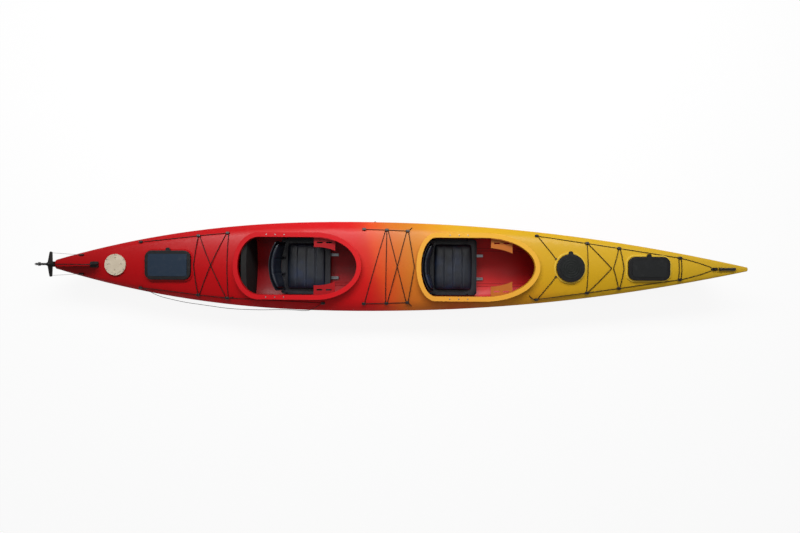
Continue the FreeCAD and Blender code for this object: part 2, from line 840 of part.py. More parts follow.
def socket(x, y):
    """The room a fitting takes out of the cords that run into it, with a small gap all round."""
    base, normal = deck_point(x, y, seat_gap)
    outline = rounded(fitting_length + 2 * seat_gap, fitting_width + 2 * seat_gap, 8 + seat_gap, -3)
    block = prism(outline, fitting_height + 8)
    block.Placement = FreeCAD.Placement(base, FreeCAD.Rotation(UP, normal))
    return block


def small_eye(x, y):
    """Button that holds the end of one cord beside the day hatch."""
    base, normal = deck_point(x, y, seat_gap)
    button = prism(disc(small_eye_diameter, 0), small_eye_height)
    button = button.makeFillet(3.0, [e for e in button.Edges if e.BoundBox.ZMin > small_eye_height - 0.01])
    button.Placement = FreeCAD.Placement(base, FreeCAD.Rotation(UP, normal))
    return button


def both(place):
    return [place, (place[0], -place[1])]


def fittings(places):
    shapes = []
    for place in places:
        for x, y in both(place):
            shapes.append(fitting(x, y))
    return shapes


def strand(start, end, diameter, start_shift=0.0, end_shift=0.0, rise=0.0, stops=4, end_reach=None):
    """Cord between two fittings, laid over the deck, clear of their blocks by a small gap."""
    lift = diameter / 2 + cord_over_deck
    a = V(start[0] + start_shift, start[1], 0)
    b = V(end[0] + end_shift, end[1], 0)
    way = b - a
    total = way.Length
    way.normalize()
    reach_x = fitting_length / 2 / max(abs(way.x), 1e-6)
    reach_y = fitting_width / 2 / max(abs(way.y), 1e-6)
    reach = min(reach_x, reach_y) - cord_run_in
    far_reach = end_reach or reach
    points = []
    for i in range(stops + 1):
        share = i / stops
        spot = a + way * (reach + (total - reach - far_reach) * share)
        sag = 0.5 * (total / stops / 2) ** 2 * 2 * deck_crown / (half_breadth(spot.x) * 0.85) ** 2
        hump = rise * math.sin(math.pi * share) ** 4
        point, normal = deck_point(spot.x, spot.y, lift + sag + hump)
        points.append(point)
    cord = tube(points, diameter).cut(socket(start[0], start[1]))
    if end_reach:
        return cord
    return cord.cut(socket(end[0], end[1]))


def edge_line(places, diameter, sign):
    """Perimeter line along the deck edge, a run between each pair of fittings."""
    shapes = []
    for i in range(len(places) - 1):
        start = (places[i][0], sign * places[i][1])
        end = (places[i + 1][0], sign * places[i + 1][1])
        shapes.append(strand(start, end, diameter, stops=3))
    return shapes


def port(place):
    return (place[0], abs(place[1]))


def starboard(place):
    return (place[0], -abs(place[1]))


# Rudder
rudder_axis_x = stern_x - rudder_axis_back
blade_pivot_x = rudder_axis_x - blade_pivot_back


def rudder_bracket():
    """Plate on the sternpost with two lugs for the pin."""
    plate = Part.makeBox(bracket_plate, bracket_width, bracket_top - bracket_bottom + 2 * lug_thickness,
                         V(stern_x - bracket_plate, -bracket_width / 2, bracket_bottom - lug_thickness))
    parts = []
    for z in (bracket_bottom - lug_thickness, bracket_top):
        arm = Part.makeBox(rudder_axis_back, 2 * lug_radius, lug_thickness,
                           V(rudder_axis_x, -lug_radius, z))
        nose = Part.makeCylinder(lug_radius, lug_thickness, V(rudder_axis_x, 0, z))
        parts += [arm, nose]
    solid = plate.fuse(parts)
    height = bracket_top - bracket_bottom + 2 * lug_thickness
    bore = Part.makeCylinder(rudder_pin_diameter / 2, height,
                             V(rudder_axis_x, 0, bracket_bottom - lug_thickness))
    return solid.cut(bore).removeSplitter()


def rudder_pin():
    height = bracket_top - bracket_bottom + 2 * lug_thickness
    shank = Part.makeCylinder(rudder_pin_diameter / 2, height,
                              V(rudder_axis_x, 0, bracket_bottom - lug_thickness))
    head = Part.makeCylinder(rudder_pin_diameter / 2 + 3, 3,
                             V(rudder_axis_x, 0, bracket_top + lug_thickness))
    return shank.fuse(head).removeSplitter()


def rudder_yoke():
    """Hub on the pin, cable arms to both sides, and two cheeks behind that hold the blade."""
    low = bracket_bottom + slide_gap
    high = bracket_top - slide_gap
    hub = Part.makeCylinder(lug_radius - 2, high - low, V(rudder_axis_x, 0, low))
    outline = []
    outline.append(V(rudder_axis_x - yoke_arm_width / 2, -yoke_half_span, yoke_arm_z))
    outline.append(V(rudder_axis_x + yoke_arm_width / 2, -yoke_half_span, yoke_arm_z))
    outline.append(V(rudder_axis_x + lug_radius - 3, 0, yoke_arm_z))
    outline.append(V(rudder_axis_x + yoke_arm_width / 2, yoke_half_span, yoke_arm_z))
    outline.append(V(rudder_axis_x - yoke_arm_width / 2, yoke_half_span, yoke_arm_z))
    outline.append(V(rudder_axis_x - lug_radius - 10, 0, yoke_arm_z))
    outline.append(outline[0])
    arms = Part.Face(Part.makePolygon(outline)).extrude(V(0, 0, yoke_arm_thickness))
    ends = []
    for y in (1, -1):
        ends.append(Part.makeCylinder(yoke_arm_width / 2, yoke_arm_thickness,
                                      V(rudder_axis_x, y * yoke_half_span, yoke_arm_z)))
    spine_x = rudder_axis_x - lug_radius - slide_gap
    wide = blade_thickness + 2 * slide_gap + 2 * cheek_thickness
    spine = Part.makeBox(blade_pivot_back - lug_radius + cheek_radius - slide_gap, wide,
                         blade_pivot_z - low, V(blade_pivot_x - cheek_radius, -wide / 2, low))
    crown = Part.makeCylinder(cheek_radius, wide, V(blade_pivot_x, -wide / 2, blade_pivot_z), V(0, 1, 0))
    crown = crown.common(Part.makeBox(spine_x - blade_pivot_x + cheek_radius + 10, wide, 200,
                                      V(blade_pivot_x - cheek_radius, -wide / 2, blade_pivot_z - 60)))
    solid = hub.fuse([arms, spine, crown] + ends)
    link = Part.makeBox(lug_radius + 4, wide, high - low, V(rudder_axis_x - lug_radius - 4, -wide / 2, low))
    solid = solid.fuse(link)
    gap_low = blade_pivot_z - blade_root_width / 2 - 22
    slot_x = blade_pivot_x - cheek_radius - 10
    slot_y = -blade_thickness / 2 - slide_gap
    slot = Part.makeBox(2 * cheek_radius + 60, blade_thickness + 2 * slide_gap, 200, V(slot_x, slot_y, gap_low))
    front_x = rudder_axis_x - lug_radius + 0.5
    well = Part.makeBox(front_x - slot_x, blade_thickness + 2 * slide_gap, 200, V(slot_x, slot_y, low - 10))
    solid = solid.cut(slot.fuse(well))
    bore = Part.makeCylinder(rudder_pin_diameter / 2 + pin_clearance, high - low, V(rudder_axis_x, 0, low))
    holes = [bore]
    for y in (1, -1):
        holes.append(Part.makeCylinder(2.5, yoke_arm_thickness,
                                       V(rudder_axis_x, y * yoke_half_span, yoke_arm_z)))
    holes.append(Part.makeCylinder(blade_pivot_diameter / 2, wide,
                                   V(blade_pivot_x, -wide / 2, blade_pivot_z), V(0, 1, 0)))
    return solid.cut(holes[0].fuse(holes[1:])).removeSplitter()


def rudder_blade():
    """Foil-edged blade, drawn as it lies forward along the deck, heel round the pivot."""
    low = blade_pivot_z - blade_root_width / 2
    tip_x = blade_pivot_x + blade_length
    heel = Part.makeCylinder(blade_root_width / 2, blade_thickness,
                             V(blade_pivot_x, -blade_thickness / 2, blade_pivot_z), V(0, 1, 0))
    curve = Part.BSplineCurve()
    curve.interpolate([V(blade_pivot_x, 0, low + blade_root_width), V(blade_pivot_x + 120, 0, low + 74),
                       V(tip_x - 110, 0, low + blade_width), V(tip_x - 12, 0, low + blade_width * 0.62),
                       V(tip_x - 20, 0, low)])
    edges = [curve.toShape(), Part.makeLine(V(tip_x - 20, 0, low), V(blade_pivot_x, 0, low)),
             Part.makeLine(V(blade_pivot_x, 0, low), V(blade_pivot_x, 0, low + blade_root_width))]
    face = Part.Face(Part.Wire(edges))
    plate = face.extrude(V(0, blade_thickness, 0))
    plate.translate(V(0, -blade_thickness / 2, 0))
    solid = plate.fuse(heel)
    bore = Part.makeCylinder(blade_pivot_diameter / 2 + pin_clearance, blade_thickness,
                             V(blade_pivot_x, -blade_thickness / 2, blade_pivot_z), V(0, 1, 0))
    return solid.cut(bore).removeSplitter()


def blade_bolt():
    wide = blade_thickness + 2 * slide_gap + 2 * cheek_thickness
    shank = Part.makeCylinder(blade_pivot_diameter / 2, wide + 4,
                              V(blade_pivot_x, -wide / 2 - 2, blade_pivot_z), V(0, 1, 0))
    head = Part.makeCylinder(8, 5, V(blade_pivot_x, -wide / 2 - 5, blade_pivot_z), V(0, 1, 0))
    nut = Part.makeCylinder(8, 6, V(blade_pivot_x, wide / 2, blade_pivot_z), V(0, 1, 0))
    return shank.fuse([head, nut]).removeSplitter()


def blade_rest():
    """Low block on the deck under the stowed blade."""
    top = blade_pivot_z - blade_root_width / 2 - seat_gap
    base, normal = deck_point(blade_rest_x, 0, 0)
    block = prism(rounded(blade_rest_length, blade_rest_width, 10, base.z - 12), top - base.z + 12)
    block.translate(V(blade_rest_x, 0, 0))
    return block.cut(outer_solid)


def cable_exit(side):
    """Gland on the shoulder where the steering cable enters the hull."""
    y = side * (half_breadth(cable_exit_x) - shoulder_width * half_breadth(cable_exit_x) / half_beam - 6)
    base, normal = deck_point(cable_exit_x, y, 2 * seat_gap)
    centre = base + normal * 7
    body_part = Part.makeCone(4.0, 6.0, 34, centre - V(17, 0, 0), V(1, 0, 0))
    foot = Part.makeBox(34, 12, 6, V(-17, -6, 0))
    foot.Placement = FreeCAD.Placement(base, FreeCAD.Rotation(UP, normal)).multiply(foot.Placement)
    return foot.fuse(body_part), centre - V(17 + seat_gap, 0, 0)


# Bow carrying toggle, which hangs on a loop through an eye on the deck
def toggle_eye():
    base, normal = deck_point(toggle_eye_x, 0, seat_gap)
    foot = prism(rounded(44, 22, 9, 0), 6)
    foot.Placement = FreeCAD.Placement(base, FreeCAD.Rotation(UP, normal))
    hole_at = base + V(0, 0, toggle_diameter / 2 + 2)
    lug = Part.makeCylinder(10, 8, hole_at + V(0, -4, 0), V(0, 1, 0))
    stem = Part.makeBox(20, 8, toggle_diameter / 2, base + V(-10, -4, 2))
    hole = Part.makeCylinder(4.5, 8, hole_at + V(0, -4, 0), V(0, 1, 0))
    return foot.fuse([lug, stem]).cut(hole).removeSplitter(), hole_at


def bow_toggle(hole_at):
    """Grip turned from one bar with a waist, lying forward on the deck, and the loop that ties it."""
    start_x = hole_at.x + toggle_cord_reach
    point, normal = deck_point(start_x, 0, toggle_diameter / 2 + seat_gap)
    far, normal = deck_point(start_x + toggle_length, 0, toggle_diameter / 2 + seat_gap)
    radius = toggle_diameter / 2
    profile = [V(0, 0, 0), V(0, 0, radius - 2), V(3, 0, radius), V(toggle_length * 0.3, 0, radius - 2.5)]
    profile += [V(toggle_length * 0.7, 0, radius - 2.5), V(toggle_length - 3, 0, radius)]
    profile += [V(toggle_length, 0, radius - 2), V(toggle_length, 0, 0), V(0, 0, 0)]
    grip = Part.Face(Part.makePolygon(profile)).revolve(V(0, 0, 0), V(1, 0, 0), 360)
    grip.Placement = FreeCAD.Placement(point, FreeCAD.Rotation(V(1, 0, 0), far - point))
    side = 8.0
    back = V(start_x - seat_gap, side, point.z)
    loop = [back, V(hole_at.x, side + 1.5, hole_at.z)]
    loop.append(mirrored(loop[1]))
    loop.append(mirrored(back))
    return grip, tube(loop, line_diameter, "toggle_cord").cut(grip)


def steering_cable(start, side):
    """Bare cable from its gland to the end of the yoke's arm."""
    end_x = rudder_axis_x + yoke_arm_width / 2 + seat_gap
    end = V(end_x, side * yoke_half_span, yoke_arm_z + yoke_arm_thickness / 2)
    return Part.makeCylinder(cable_diameter / 2, (end - start).Length, start, end - start)


def cable_tube(side):
    """Plastic tube along the inside of the hull, from under the gland to the foot rail."""
    start, turn = rail_frame(rear_foot_rail_x, side)
    points = [V(cable_exit_x + 25, 62, 268), V(cable_exit_x + 110, 84, 243)]
    for x in cable_tube_stops:
        points.append(V(x, cable_side(x), cable_tube_z))
    points.append(V(rear_foot_rail_x - 90, start - 12, cable_tube_z - 40))
    end_x = rear_foot_rail_x - cable_tube_diameter / 4 - seat_gap
    points.append(V(end_x, start - foot_rail_depth / 2, foot_rail_z))
    if side < 0:
        points = [mirrored(point) for point in points]
    return tube(points, cable_tube_diameter, "cable_tube")


cable_tube_stops = [-2200.0, -1950.0, -1700.0, -1450.0, -1250.0, -1050.0, -800.0, -550.0]

# The slack leg of the rudder lift line, over the starboard gunwale and hanging beside the hull
slack_route = [
    (-1979, -178, 291), (-1925, -204, 281), (-1880, -232, 268), (-1835, -252, 249),
    (-1789, -267, 228), (-1740, -281, 209), (-1690, -294, 193), (-1640, -304, 180),
    (-1586, -312, 170), (-1531, -321, 162), (-1476, -329, 155), (-1420, -338, 150),
    (-1364, -345, 146), (-1307, -350, 143), (-1250, -353, 142), (-1192, -354, 143),
    (-1134, -355, 147), (-1077, -355, 152), (-1020, -353, 160), (-965, -351, 170),
    (-912, -349, 182), (-861, -348, 196), (-812, -348, 212), (-764, -350, 228),
    (-718, -351, 243), (-678, -345, 256), (-645, -330, 267), (-615, -311, 279),
    (-580, -290, 288)]


def line_to_eye(sign):
    """Deck line from the foremost fitting in to the foot of the toggle's eye."""
    lift = line_diameter / 2 + cord_over_deck + 1.5
    foot = prism(rounded(44 + 2 * seat_gap, 22 + 2 * seat_gap, 9, -3), 12)
    base, normal = deck_point(toggle_eye_x, 0, seat_gap)
    foot.Placement = FreeCAD.Placement(base, FreeCAD.Rotation(UP, normal))
    places = [(fitting_g[0] + 11, fitting_g[1] - 2.5, lift), (2240.0, 60.0, lift), (2325.0, 33.0, lift)]
    places.append((2386.0, 8.0, line_diameter / 2 + 0.6))
    points = []
    for x, y, rise in places:
        point, normal = deck_point(x, sign * y, rise)
        points.append(point)
    return tube(points, line_diameter).cut(foot).cut(socket(fitting_g[0], sign * fitting_g[1]))


def vee(place, apex_x, shift=0.0):
    """Cord from one side to the other, drawn to an apex on the centreline."""
    lift = cord_diameter / 2 + cord_over_deck + 2.0
    points = []
    for share in (0.0, 0.33, 0.7):
        gap = fitting_width / 2 - cord_run_in
        y = (place[1] - gap) * (1 - share)
        x = place[0] + shift + (apex_x - place[0] - shift) * share
        point, normal = deck_point(x, y, lift)
        points.append(point)
    middle, normal = deck_point(apex_x, 0, lift)
    back = [mirrored(point) for point in reversed(points)]
    cord = tube(points + [middle] + back, cord_diameter)
    return cord.cut(socket(place[0], place[1])).cut(socket(place[0], -place[1]))


os.makedirs("parts", exist_ok=True)

shell = hull()
shell = shell.fuse(floor_ribs())
if len(shell.Solids) == 1:
    shell = shell.Solids[0]
print("hull solids", len(shell.Solids), "valid", shell.isValid(), "volume l", shell.Volume / 1e6)
save("hull_shell", shell)

bulkheads = [("rear", rear_bulkhead_x - bulkhead_thickness), ("mid", mid_bulkhead_x)]
bulkheads += [("front", front_bulkhead_x), ("bow", bow_bulkhead_x)]
for label, start in bulkheads:
    save("bulkhead_" + label, bulkhead(start))

seals = []
for label, outline, x in hatches:
    place = deck_place(x)
    cover = hatch_cover(outline).fuse(hatch_tab(outline)).removeSplitter()
    save("hatch_cover_" + label, placed(cover, place))
    seals.append(placed(deck_seal(outline), place))
save("hatch_seals", group(seals))

place = deck_place(deck_plate_x)
ring_outer = prism(disc(deck_plate_diameter, hatch_pad_rise), 7)
ring_hole = prism(disc(deck_plate_lid_diameter + 2 * seat_gap, hatch_pad_rise), 7)
save("deck_plate_ring", placed(ring_outer.cut(ring_hole), place))
lid = prism(disc(deck_plate_lid_diameter, hatch_pad_rise + seat_gap), 8)
lid = lid.makeFillet(2.0, [e for e in lid.Edges if abs(e.BoundBox.ZMin - hatch_pad_rise - seat_gap - 8) < 0.01])
for angle in (0, 90, 180, 270):
    notch = prism(rounded(22, 12, 5.9, hatch_pad_rise + seat_gap + 4), 8)
    notch.translate(V(deck_plate_lid_diameter / 2 - 22, 0, 0))
    notch.rotate(V(0, 0, 0), UP, angle)
    lid = lid.cut(notch)
save("deck_plate_lid", placed(lid, place))

build_seat("rear", seat_rear_x)
build_seat("front", seat_front_x)

for label, x in (("rear", rear_foot_rail_x), ("front", front_foot_rail_x)):
    save("foot_rails_" + label, group([foot_rail(x, 1), foot_rail(x, -1)]))
    save("pedal_" + label + "_port", pedal(x, 1))
    save("pedal_" + label + "_starboard", pedal(x, -1))

for side, word in ((1, "port"), (-1, "starboard")):
    save("thigh_brace_rear_" + word, thigh_brace(rear_egg, rear_place, rear_brace_x, side))
    save("thigh_brace_front_" + word, thigh_brace(front_egg, front_place, front_brace_x, side))

rear_fittings = fittings([fitting_a, fitting_b, stern_fitting])
rear_fittings.append(fitting(lift_guide[0], lift_guide[1]))
save("deck_fittings_rear", group(rear_fittings))
save("deck_fittings_mid", group(fittings([fitting_1, fitting_2, fitting_3])))
front_fittings = fittings([fitting_d, fitting_e, fitting_f, fitting_g])
for x, y in both(day_hatch_eye):
    front_fittings.append(small_eye(x, y))
save("deck_fittings_front", group(front_fittings))

save("rudder_bracket", rudder_bracket())
save("rudder_pin", rudder_pin())
save("rudder_yoke", rudder_yoke())
save("rudder_blade", rudder_blade())
save("blade_bolt", blade_bolt())
save("blade_rest", blade_rest())

glands = []
cables = []
for side in (1, -1):
    gland, tip = cable_exit(side)
    glands.append(gland)
    cables.append(steering_cable(tip, side))
save("cable_glands", group(glands))
save("steering_cables", group(cables))
save("cable_tubes", group([cable_tube(1), cable_tube(-1)]))

eye, eye_hole = toggle_eye()
grip, loop = bow_toggle(eye_hole)
save("toggle_eye", eye)
save("bow_toggle", grip)
save("toggle_cord", loop)
print("toggle hinge", eye_hole)

rear_web = [vee(fitting_a, -1562.0)]
rear_web.append(strand(starboard(fitting_a), port(fitting_b), cord_diameter, 10, -8, 8.0, 6))
rear_web.append(strand(starboard(fitting_b), port(fitting_a), cord_diameter, -8, 10, 0.0, 6))
rear_web.append(strand(starboard(fitting_b), port(fitting_b), cord_diameter, 8, 8))
save("bungee_rear", group(rear_web))

mid_web = [strand(starboard(fitting_1), port(fitting_2), cord_diameter, 5, -9)]
mid_web.append(strand(starboard(fitting_2), port(fitting_2), cord_diameter, -6, 0))
mid_web.append(strand(starboard(fitting_2), port(fitting_3), cord_diameter, 7, -7, 8.0, 6))
mid_web.append(strand(starboard(fitting_3), port(fitting_2), cord_diameter, -7, 9, 0.0, 6))
mid_web.append(vee(fitting_3, 136.0, 7))
save("bungee_mid", group(mid_web))

eye_edge = small_eye_diameter / 2 + seat_gap
front_web = [strand(starboard(fitting_d), starboard(day_hatch_eye), cord_diameter, 6, 0, 0.0, 4, eye_edge)]
front_web.append(strand(port(fitting_d), port(day_hatch_eye), cord_diameter, 6, 0, 0.0, 4, eye_edge))
front_web.append(strand(starboard(fitting_e), port(fitting_e), cord_diameter, -2, 0))
front_web.append(vee(fitting_e, 1642.0, 10))
front_web.append(vee(fitting_f, 1656.0, -4))
front_web.append(vee(fitting_f, 1735.0, 9))
front_web.append(strand(starboard(fitting_g), port(fitting_g), cord_diameter, -9, -9))
front_web.append(strand(starboard(fitting_g), port(fitting_g), cord_diameter, 10, 10))
save("bungee_front", group(front_web))

lines = []
for sign in (1, -1):
    lines += edge_line([fitting_1, fitting_2, fitting_3], line_diameter, sign)
    lines += edge_line([fitting_d, fitting_e, fitting_f, fitting_g], line_diameter, sign)
    lines.append(line_to_eye(sign))
lines += edge_line([stern_fitting, fitting_a, fitting_b], line_diameter, 1)
save("deck_lines", group(lines))

guide = (lift_guide[0], -lift_guide[1])
tight = edge_line([stern_fitting, fitting_a, fitting_b, guide], lift_line_diameter, -1)
save("lift_line_tight", group(tight))
slack = tube([V(*point) for point in slack_route], lift_line_diameter, "lift_line_slack")
slack = slack.cut(socket(stern_fitting[0], -stern_fitting[1])).cut(socket(lift_guide[0], lift_guide[1]))
save("lift_line_slack", slack)

bolts = []
for coaming, place, start in ((rear_egg, rear_place, 0.0), (front_egg, front_place, 0.0)):
    for x in coaming_bolt_x:
        for side in (1, -1):
            y = side * (coaming[3] - (coaming_lip + shell_wall) / 2)
            head = Part.makeCylinder(coaming_bolt_diameter / 2, 3, V(x, y, 0), UP)
            head = head.makeFillet(1.5, [e for e in head.Edges if abs(e.BoundBox.ZMin - 3) < 0.01])
            bolts.append(placed(head, place))
save("coaming_bolts", group(bolts))

eye_z = gunwale_height(gunwale_eye_x) - 14
eye_reach = Part.makeLine(V(gunwale_eye_x, 0, eye_z), V(gunwale_eye_x, hull_beam, eye_z))
eye_y = outer_solid.common(eye_reach).BoundBox.YMax + seat_gap
save("gunwale_eye", Part.makeCone(8, 5, 6, V(gunwale_eye_x, eye_y, eye_z), V(0, 1, 0)))

for name in made:
    shape = made[name]
    box = shape.BoundBox
    text = "%-26s solids %2d valid %s  x %7.0f %7.0f  y %6.0f %6.0f  z %5.0f %5.0f"
    print(text % (name, len(shape.Solids), shape.isValid(), box.XMin, box.XMax, box.YMin, box.YMax,
                  box.ZMin, box.ZMax))
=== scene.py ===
import bmesh
import bpy
import math
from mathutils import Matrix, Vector
from mathutils.bvhtree import BVHTree


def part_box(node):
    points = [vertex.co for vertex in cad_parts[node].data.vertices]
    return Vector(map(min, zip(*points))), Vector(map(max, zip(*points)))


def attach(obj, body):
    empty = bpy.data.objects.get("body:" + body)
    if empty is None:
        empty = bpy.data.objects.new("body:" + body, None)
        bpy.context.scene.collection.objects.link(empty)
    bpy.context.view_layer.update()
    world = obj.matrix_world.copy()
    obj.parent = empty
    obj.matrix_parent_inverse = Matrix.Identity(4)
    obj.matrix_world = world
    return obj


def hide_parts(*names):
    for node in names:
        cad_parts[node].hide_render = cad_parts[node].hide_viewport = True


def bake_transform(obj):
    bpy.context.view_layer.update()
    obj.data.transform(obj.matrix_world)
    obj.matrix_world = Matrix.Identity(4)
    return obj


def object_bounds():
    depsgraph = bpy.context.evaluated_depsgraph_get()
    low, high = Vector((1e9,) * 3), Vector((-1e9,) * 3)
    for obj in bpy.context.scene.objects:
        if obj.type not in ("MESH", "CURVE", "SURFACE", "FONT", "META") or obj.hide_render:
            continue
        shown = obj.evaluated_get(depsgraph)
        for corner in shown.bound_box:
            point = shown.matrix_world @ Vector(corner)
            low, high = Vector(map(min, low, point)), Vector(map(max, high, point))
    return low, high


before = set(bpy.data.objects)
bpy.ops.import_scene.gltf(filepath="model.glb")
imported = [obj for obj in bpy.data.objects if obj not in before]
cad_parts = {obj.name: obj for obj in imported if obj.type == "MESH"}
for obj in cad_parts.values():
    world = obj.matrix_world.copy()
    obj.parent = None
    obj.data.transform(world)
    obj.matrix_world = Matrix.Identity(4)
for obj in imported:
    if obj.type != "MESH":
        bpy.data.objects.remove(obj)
cad_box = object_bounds()

# The floor and the light. The boat was photographed from straight above, on plain white, with a
# broad soft light on the port side.
scene = bpy.context.scene
scene.view_settings.view_transform = "Standard"
deck_level = 0.25
floor_size = 60.0
floor_drop = 0.0005
floor_tone = 0.86
floor_glow_share = 0.9
fill_light = 0.22


def flat_sheet(name, size, height):
    """Square sheet with one face, lying level."""
    half = size / 2
    corners = [(-half, -half, height), (half, -half, height), (half, half, height), (-half, half, height)]
    mesh = bpy.data.meshes.new(name)
    mesh.from_pydata(corners, [], [(0, 1, 2, 3)])
    made = bpy.data.objects.new(name, mesh)
    scene.collection.objects.link(made)
    return made


floor = flat_sheet("floor", floor_size, cad_box[0].z - floor_drop)
floor_paint = bpy.data.materials.new("floor_paint")
floor_paint.use_nodes = True
floor_tree = floor_paint.node_tree
floor_shader = floor_tree.nodes["Principled BSDF"]
floor_shader.inputs["Base Color"].default_value = (floor_tone, floor_tone, floor_tone, 1)
floor_shader.inputs["Roughness"].default_value = 0.9
floor_glow = floor_tree.nodes.new("ShaderNodeEmission")
floor_glow.inputs["Color"].default_value = (1, 1, 1, 1)
floor_ray = floor_tree.nodes.new("ShaderNodeLightPath")
floor_seen = floor_ray.outputs["Is Camera Ray"]
for ray in ("Is Glossy Ray", "Is Transmission Ray"):
    either = floor_tree.nodes.new("ShaderNodeMath")
    either.operation = "ADD"
    either.use_clamp = True
    floor_tree.links.new(floor_seen, either.inputs[0])
    floor_tree.links.new(floor_ray.outputs[ray], either.inputs[1])
    floor_seen = either.outputs[0]
floor_share = floor_tree.nodes.new("ShaderNodeMath")
floor_share.operation = "MULTIPLY"
floor_share.inputs[1].default_value = floor_glow_share
floor_tree.links.new(floor_seen, floor_share.inputs[0])
floor_mix = floor_tree.nodes.new("ShaderNodeMixShader")
floor_tree.links.new(floor_share.outputs[0], floor_mix.inputs[0])
floor_tree.links.new(floor_shader.outputs[0], floor_mix.inputs[1])
floor_tree.links.new(floor_glow.outputs[0], floor_mix.inputs[2])
floor_tree.links.new(floor_mix.outputs[0], floor_tree.nodes["Material Output"].inputs["Surface"])
floor.data.materials.append(floor_paint)

world = bpy.data.worlds.new("studio")
scene.world = world
world.use_nodes = True
world_light = world.node_tree.nodes["Background"]
world_light.inputs["Color"].default_value = (1.0, 1.0, 1.0, 1)
world_ray = world.node_tree.nodes.new("ShaderNodeLightPath")
world_level = world.node_tree.nodes.new("ShaderNodeMapRange")
world_level.inputs["To Min"].default_value = fill_light
world_level.inputs["To Max"].default_value = 1.0
world.node_tree.links.new(world_ray.outputs["Is Camera Ray"], world_level.inputs["Value"])
world.node_tree.links.new(world_level.outputs["Result"], world_light.inputs["Strength"])


def softbox(name, place, aim, width, height, power):
    """Rectangular lamp at a place, facing a point."""
    lamp = bpy.data.lights.new(name, "AREA")
    lamp.shape = "RECTANGLE"
    lamp.size = width
    lamp.size_y = height
    lamp.energy = power
    made = bpy.data.objects.new(name, lamp)
    made.location = place
    made.rotation_euler = (Vector(aim) - Vector(place)).to_track_quat("-Z", "Y").to_euler()
    scene.collection.objects.link(made)


softbox("port_light", (-0.3, 3.0, 3.8), (0, 0, deck_level), width=7.0, height=1.1, power=300.0)
softbox("top_light", (0.0, 1.0, 5.2), (0, 0, deck_level), width=7.0, height=1.2, power=36.0)

# The camera looks straight down from 3.8 m above the deck, a little turned, as the photograph was
# taken. Its lens makes one pixel of the picture 7.84 mm wide on the deck.
image_width_px = 800
metres_per_px = 0.00784
camera_rise = 3.8
camera_turn = 0.436
sensor_width_mm = 36.0
camera = bpy.data.objects.new("camera", bpy.data.cameras.new("camera"))
camera.location = (0.025, 0.002, deck_level + camera_rise)
camera.rotation_euler = (0, 0, math.radians(camera_turn))
camera.data.sensor_width = sensor_width_mm
camera.data.lens = sensor_width_mm * camera_rise / (image_width_px * metres_per_px)
scene.collection.objects.link(camera)
scene.camera = camera

# The hull is one rotomoulded polyethylene shell. Red and yellow powder meet amidships, so the deck
# fades from red at the stern through orange to yellow at the bow, and the lower half is red.


class Value:
    """A number or colour in a material. Arithmetic on it adds the Math nodes that work it out."""

    def __init__(self, finish, socket):
        self.finish = finish
        self.socket = socket

    def math(self, operation, *others):
        return self.finish.node("ShaderNodeMath", {"operation": operation}, self, *others)

    def __add__(self, other):
        return self.math("ADD", other)

    def __sub__(self, other):
        return self.math("SUBTRACT", other)

    def __mul__(self, other):
        return self.math("MULTIPLY", other)

    def __truediv__(self, other):
        return self.math("DIVIDE", other)

    def __rsub__(self, other):
        return self.finish.node("ShaderNodeMath", {"operation": "SUBTRACT"}, other, self)

    __radd__ = __add__
    __rmul__ = __mul__

    def size(self):
        return self.math("ABSOLUTE")

    def ramp(self, low, high):
        """0 at low and 1 at high, smooth between."""
        smooth = {"interpolation_type": "SMOOTHSTEP"}
        return self.finish.node("ShaderNodeMapRange", smooth, self, low, high, 0.0, 1.0)


class Finish:
    """A procedural material round one Principled shader."""

    def __init__(self, name, **constants):
        self.material = bpy.data.materials.new(name)
        self.material.use_nodes = True
        self.tree = self.material.node_tree
        self.shader = self.tree.nodes["Principled BSDF"]
        for key, value in constants.items():
            self.shader.inputs[key.replace("_", " ")].default_value = value

    def node(self, kind, settings=None, *values, out=0, **named):
        """Add one node: its settings first, then the values or links of its sockets."""
        made = self.tree.nodes.new(kind)
        for key, value in (settings or {}).items():
            if key == "stops":
                for place, colour in value:
                    near = [e for e in made.color_ramp.elements if abs(e.position - place) < 1e-4]
                    stop = near[0] if near else made.color_ramp.elements.new(place)
                    stop.color = (*colour, 1)
            else:
                setattr(made, key, value)
        wanted = list(enumerate(values)) + [(key.replace("_", " "), value) for key, value in named.items()]
        for key, value in wanted:
            if isinstance(value, Value):
                self.tree.links.new(value.socket, made.inputs[key])
            elif value is not None:
                made.inputs[key].default_value = value
        return Value(self, made.outputs[out])

    def point(self):
        """The point on the object, in metres."""
        return self.node("ShaderNodeTexCoord", None, out="Object")

    def axes(self, point):
        """The x, y and z of a point."""
        split = self.tree.nodes.new("ShaderNodeSeparateXYZ")
        self.tree.links.new(point.socket, split.inputs[0])
        return [Value(self, part) for part in split.outputs]

    def noise(self, point, scale, detail=2.0, roughness=0.5):
        return self.node("ShaderNodeTexNoise", None, out="Fac", Vector=point, Scale=scale, Detail=detail,
                         Roughness=roughness)

    def mix(self, share, first, second):
        """Colour between two colours."""
        made = self.tree.nodes.new("ShaderNodeMix")
        made.data_type = "RGBA"
        for index, value in ((0, share), (6, first), (7, second)):
            if isinstance(value, Value):
                self.tree.links.new(value.socket, made.inputs[index])
            else:
                made.inputs[index].default_value = value if index == 0 else (*value, 1)
        return Value(self, made.outputs[2])

    def feed(self, socket, value):
        self.tree.links.new(value.socket, self.shader.inputs[socket])

    def bump(self, height, distance, strength=1.0):
        made = self.tree.nodes.new("ShaderNodeBump")
        made.inputs["Strength"].default_value = strength
        made.inputs["Distance"].default_value = distance
        self.tree.links.new(height.socket, made.inputs["Height"])
        self.tree.links.new(made.outputs[0], self.shader.inputs["Normal"])


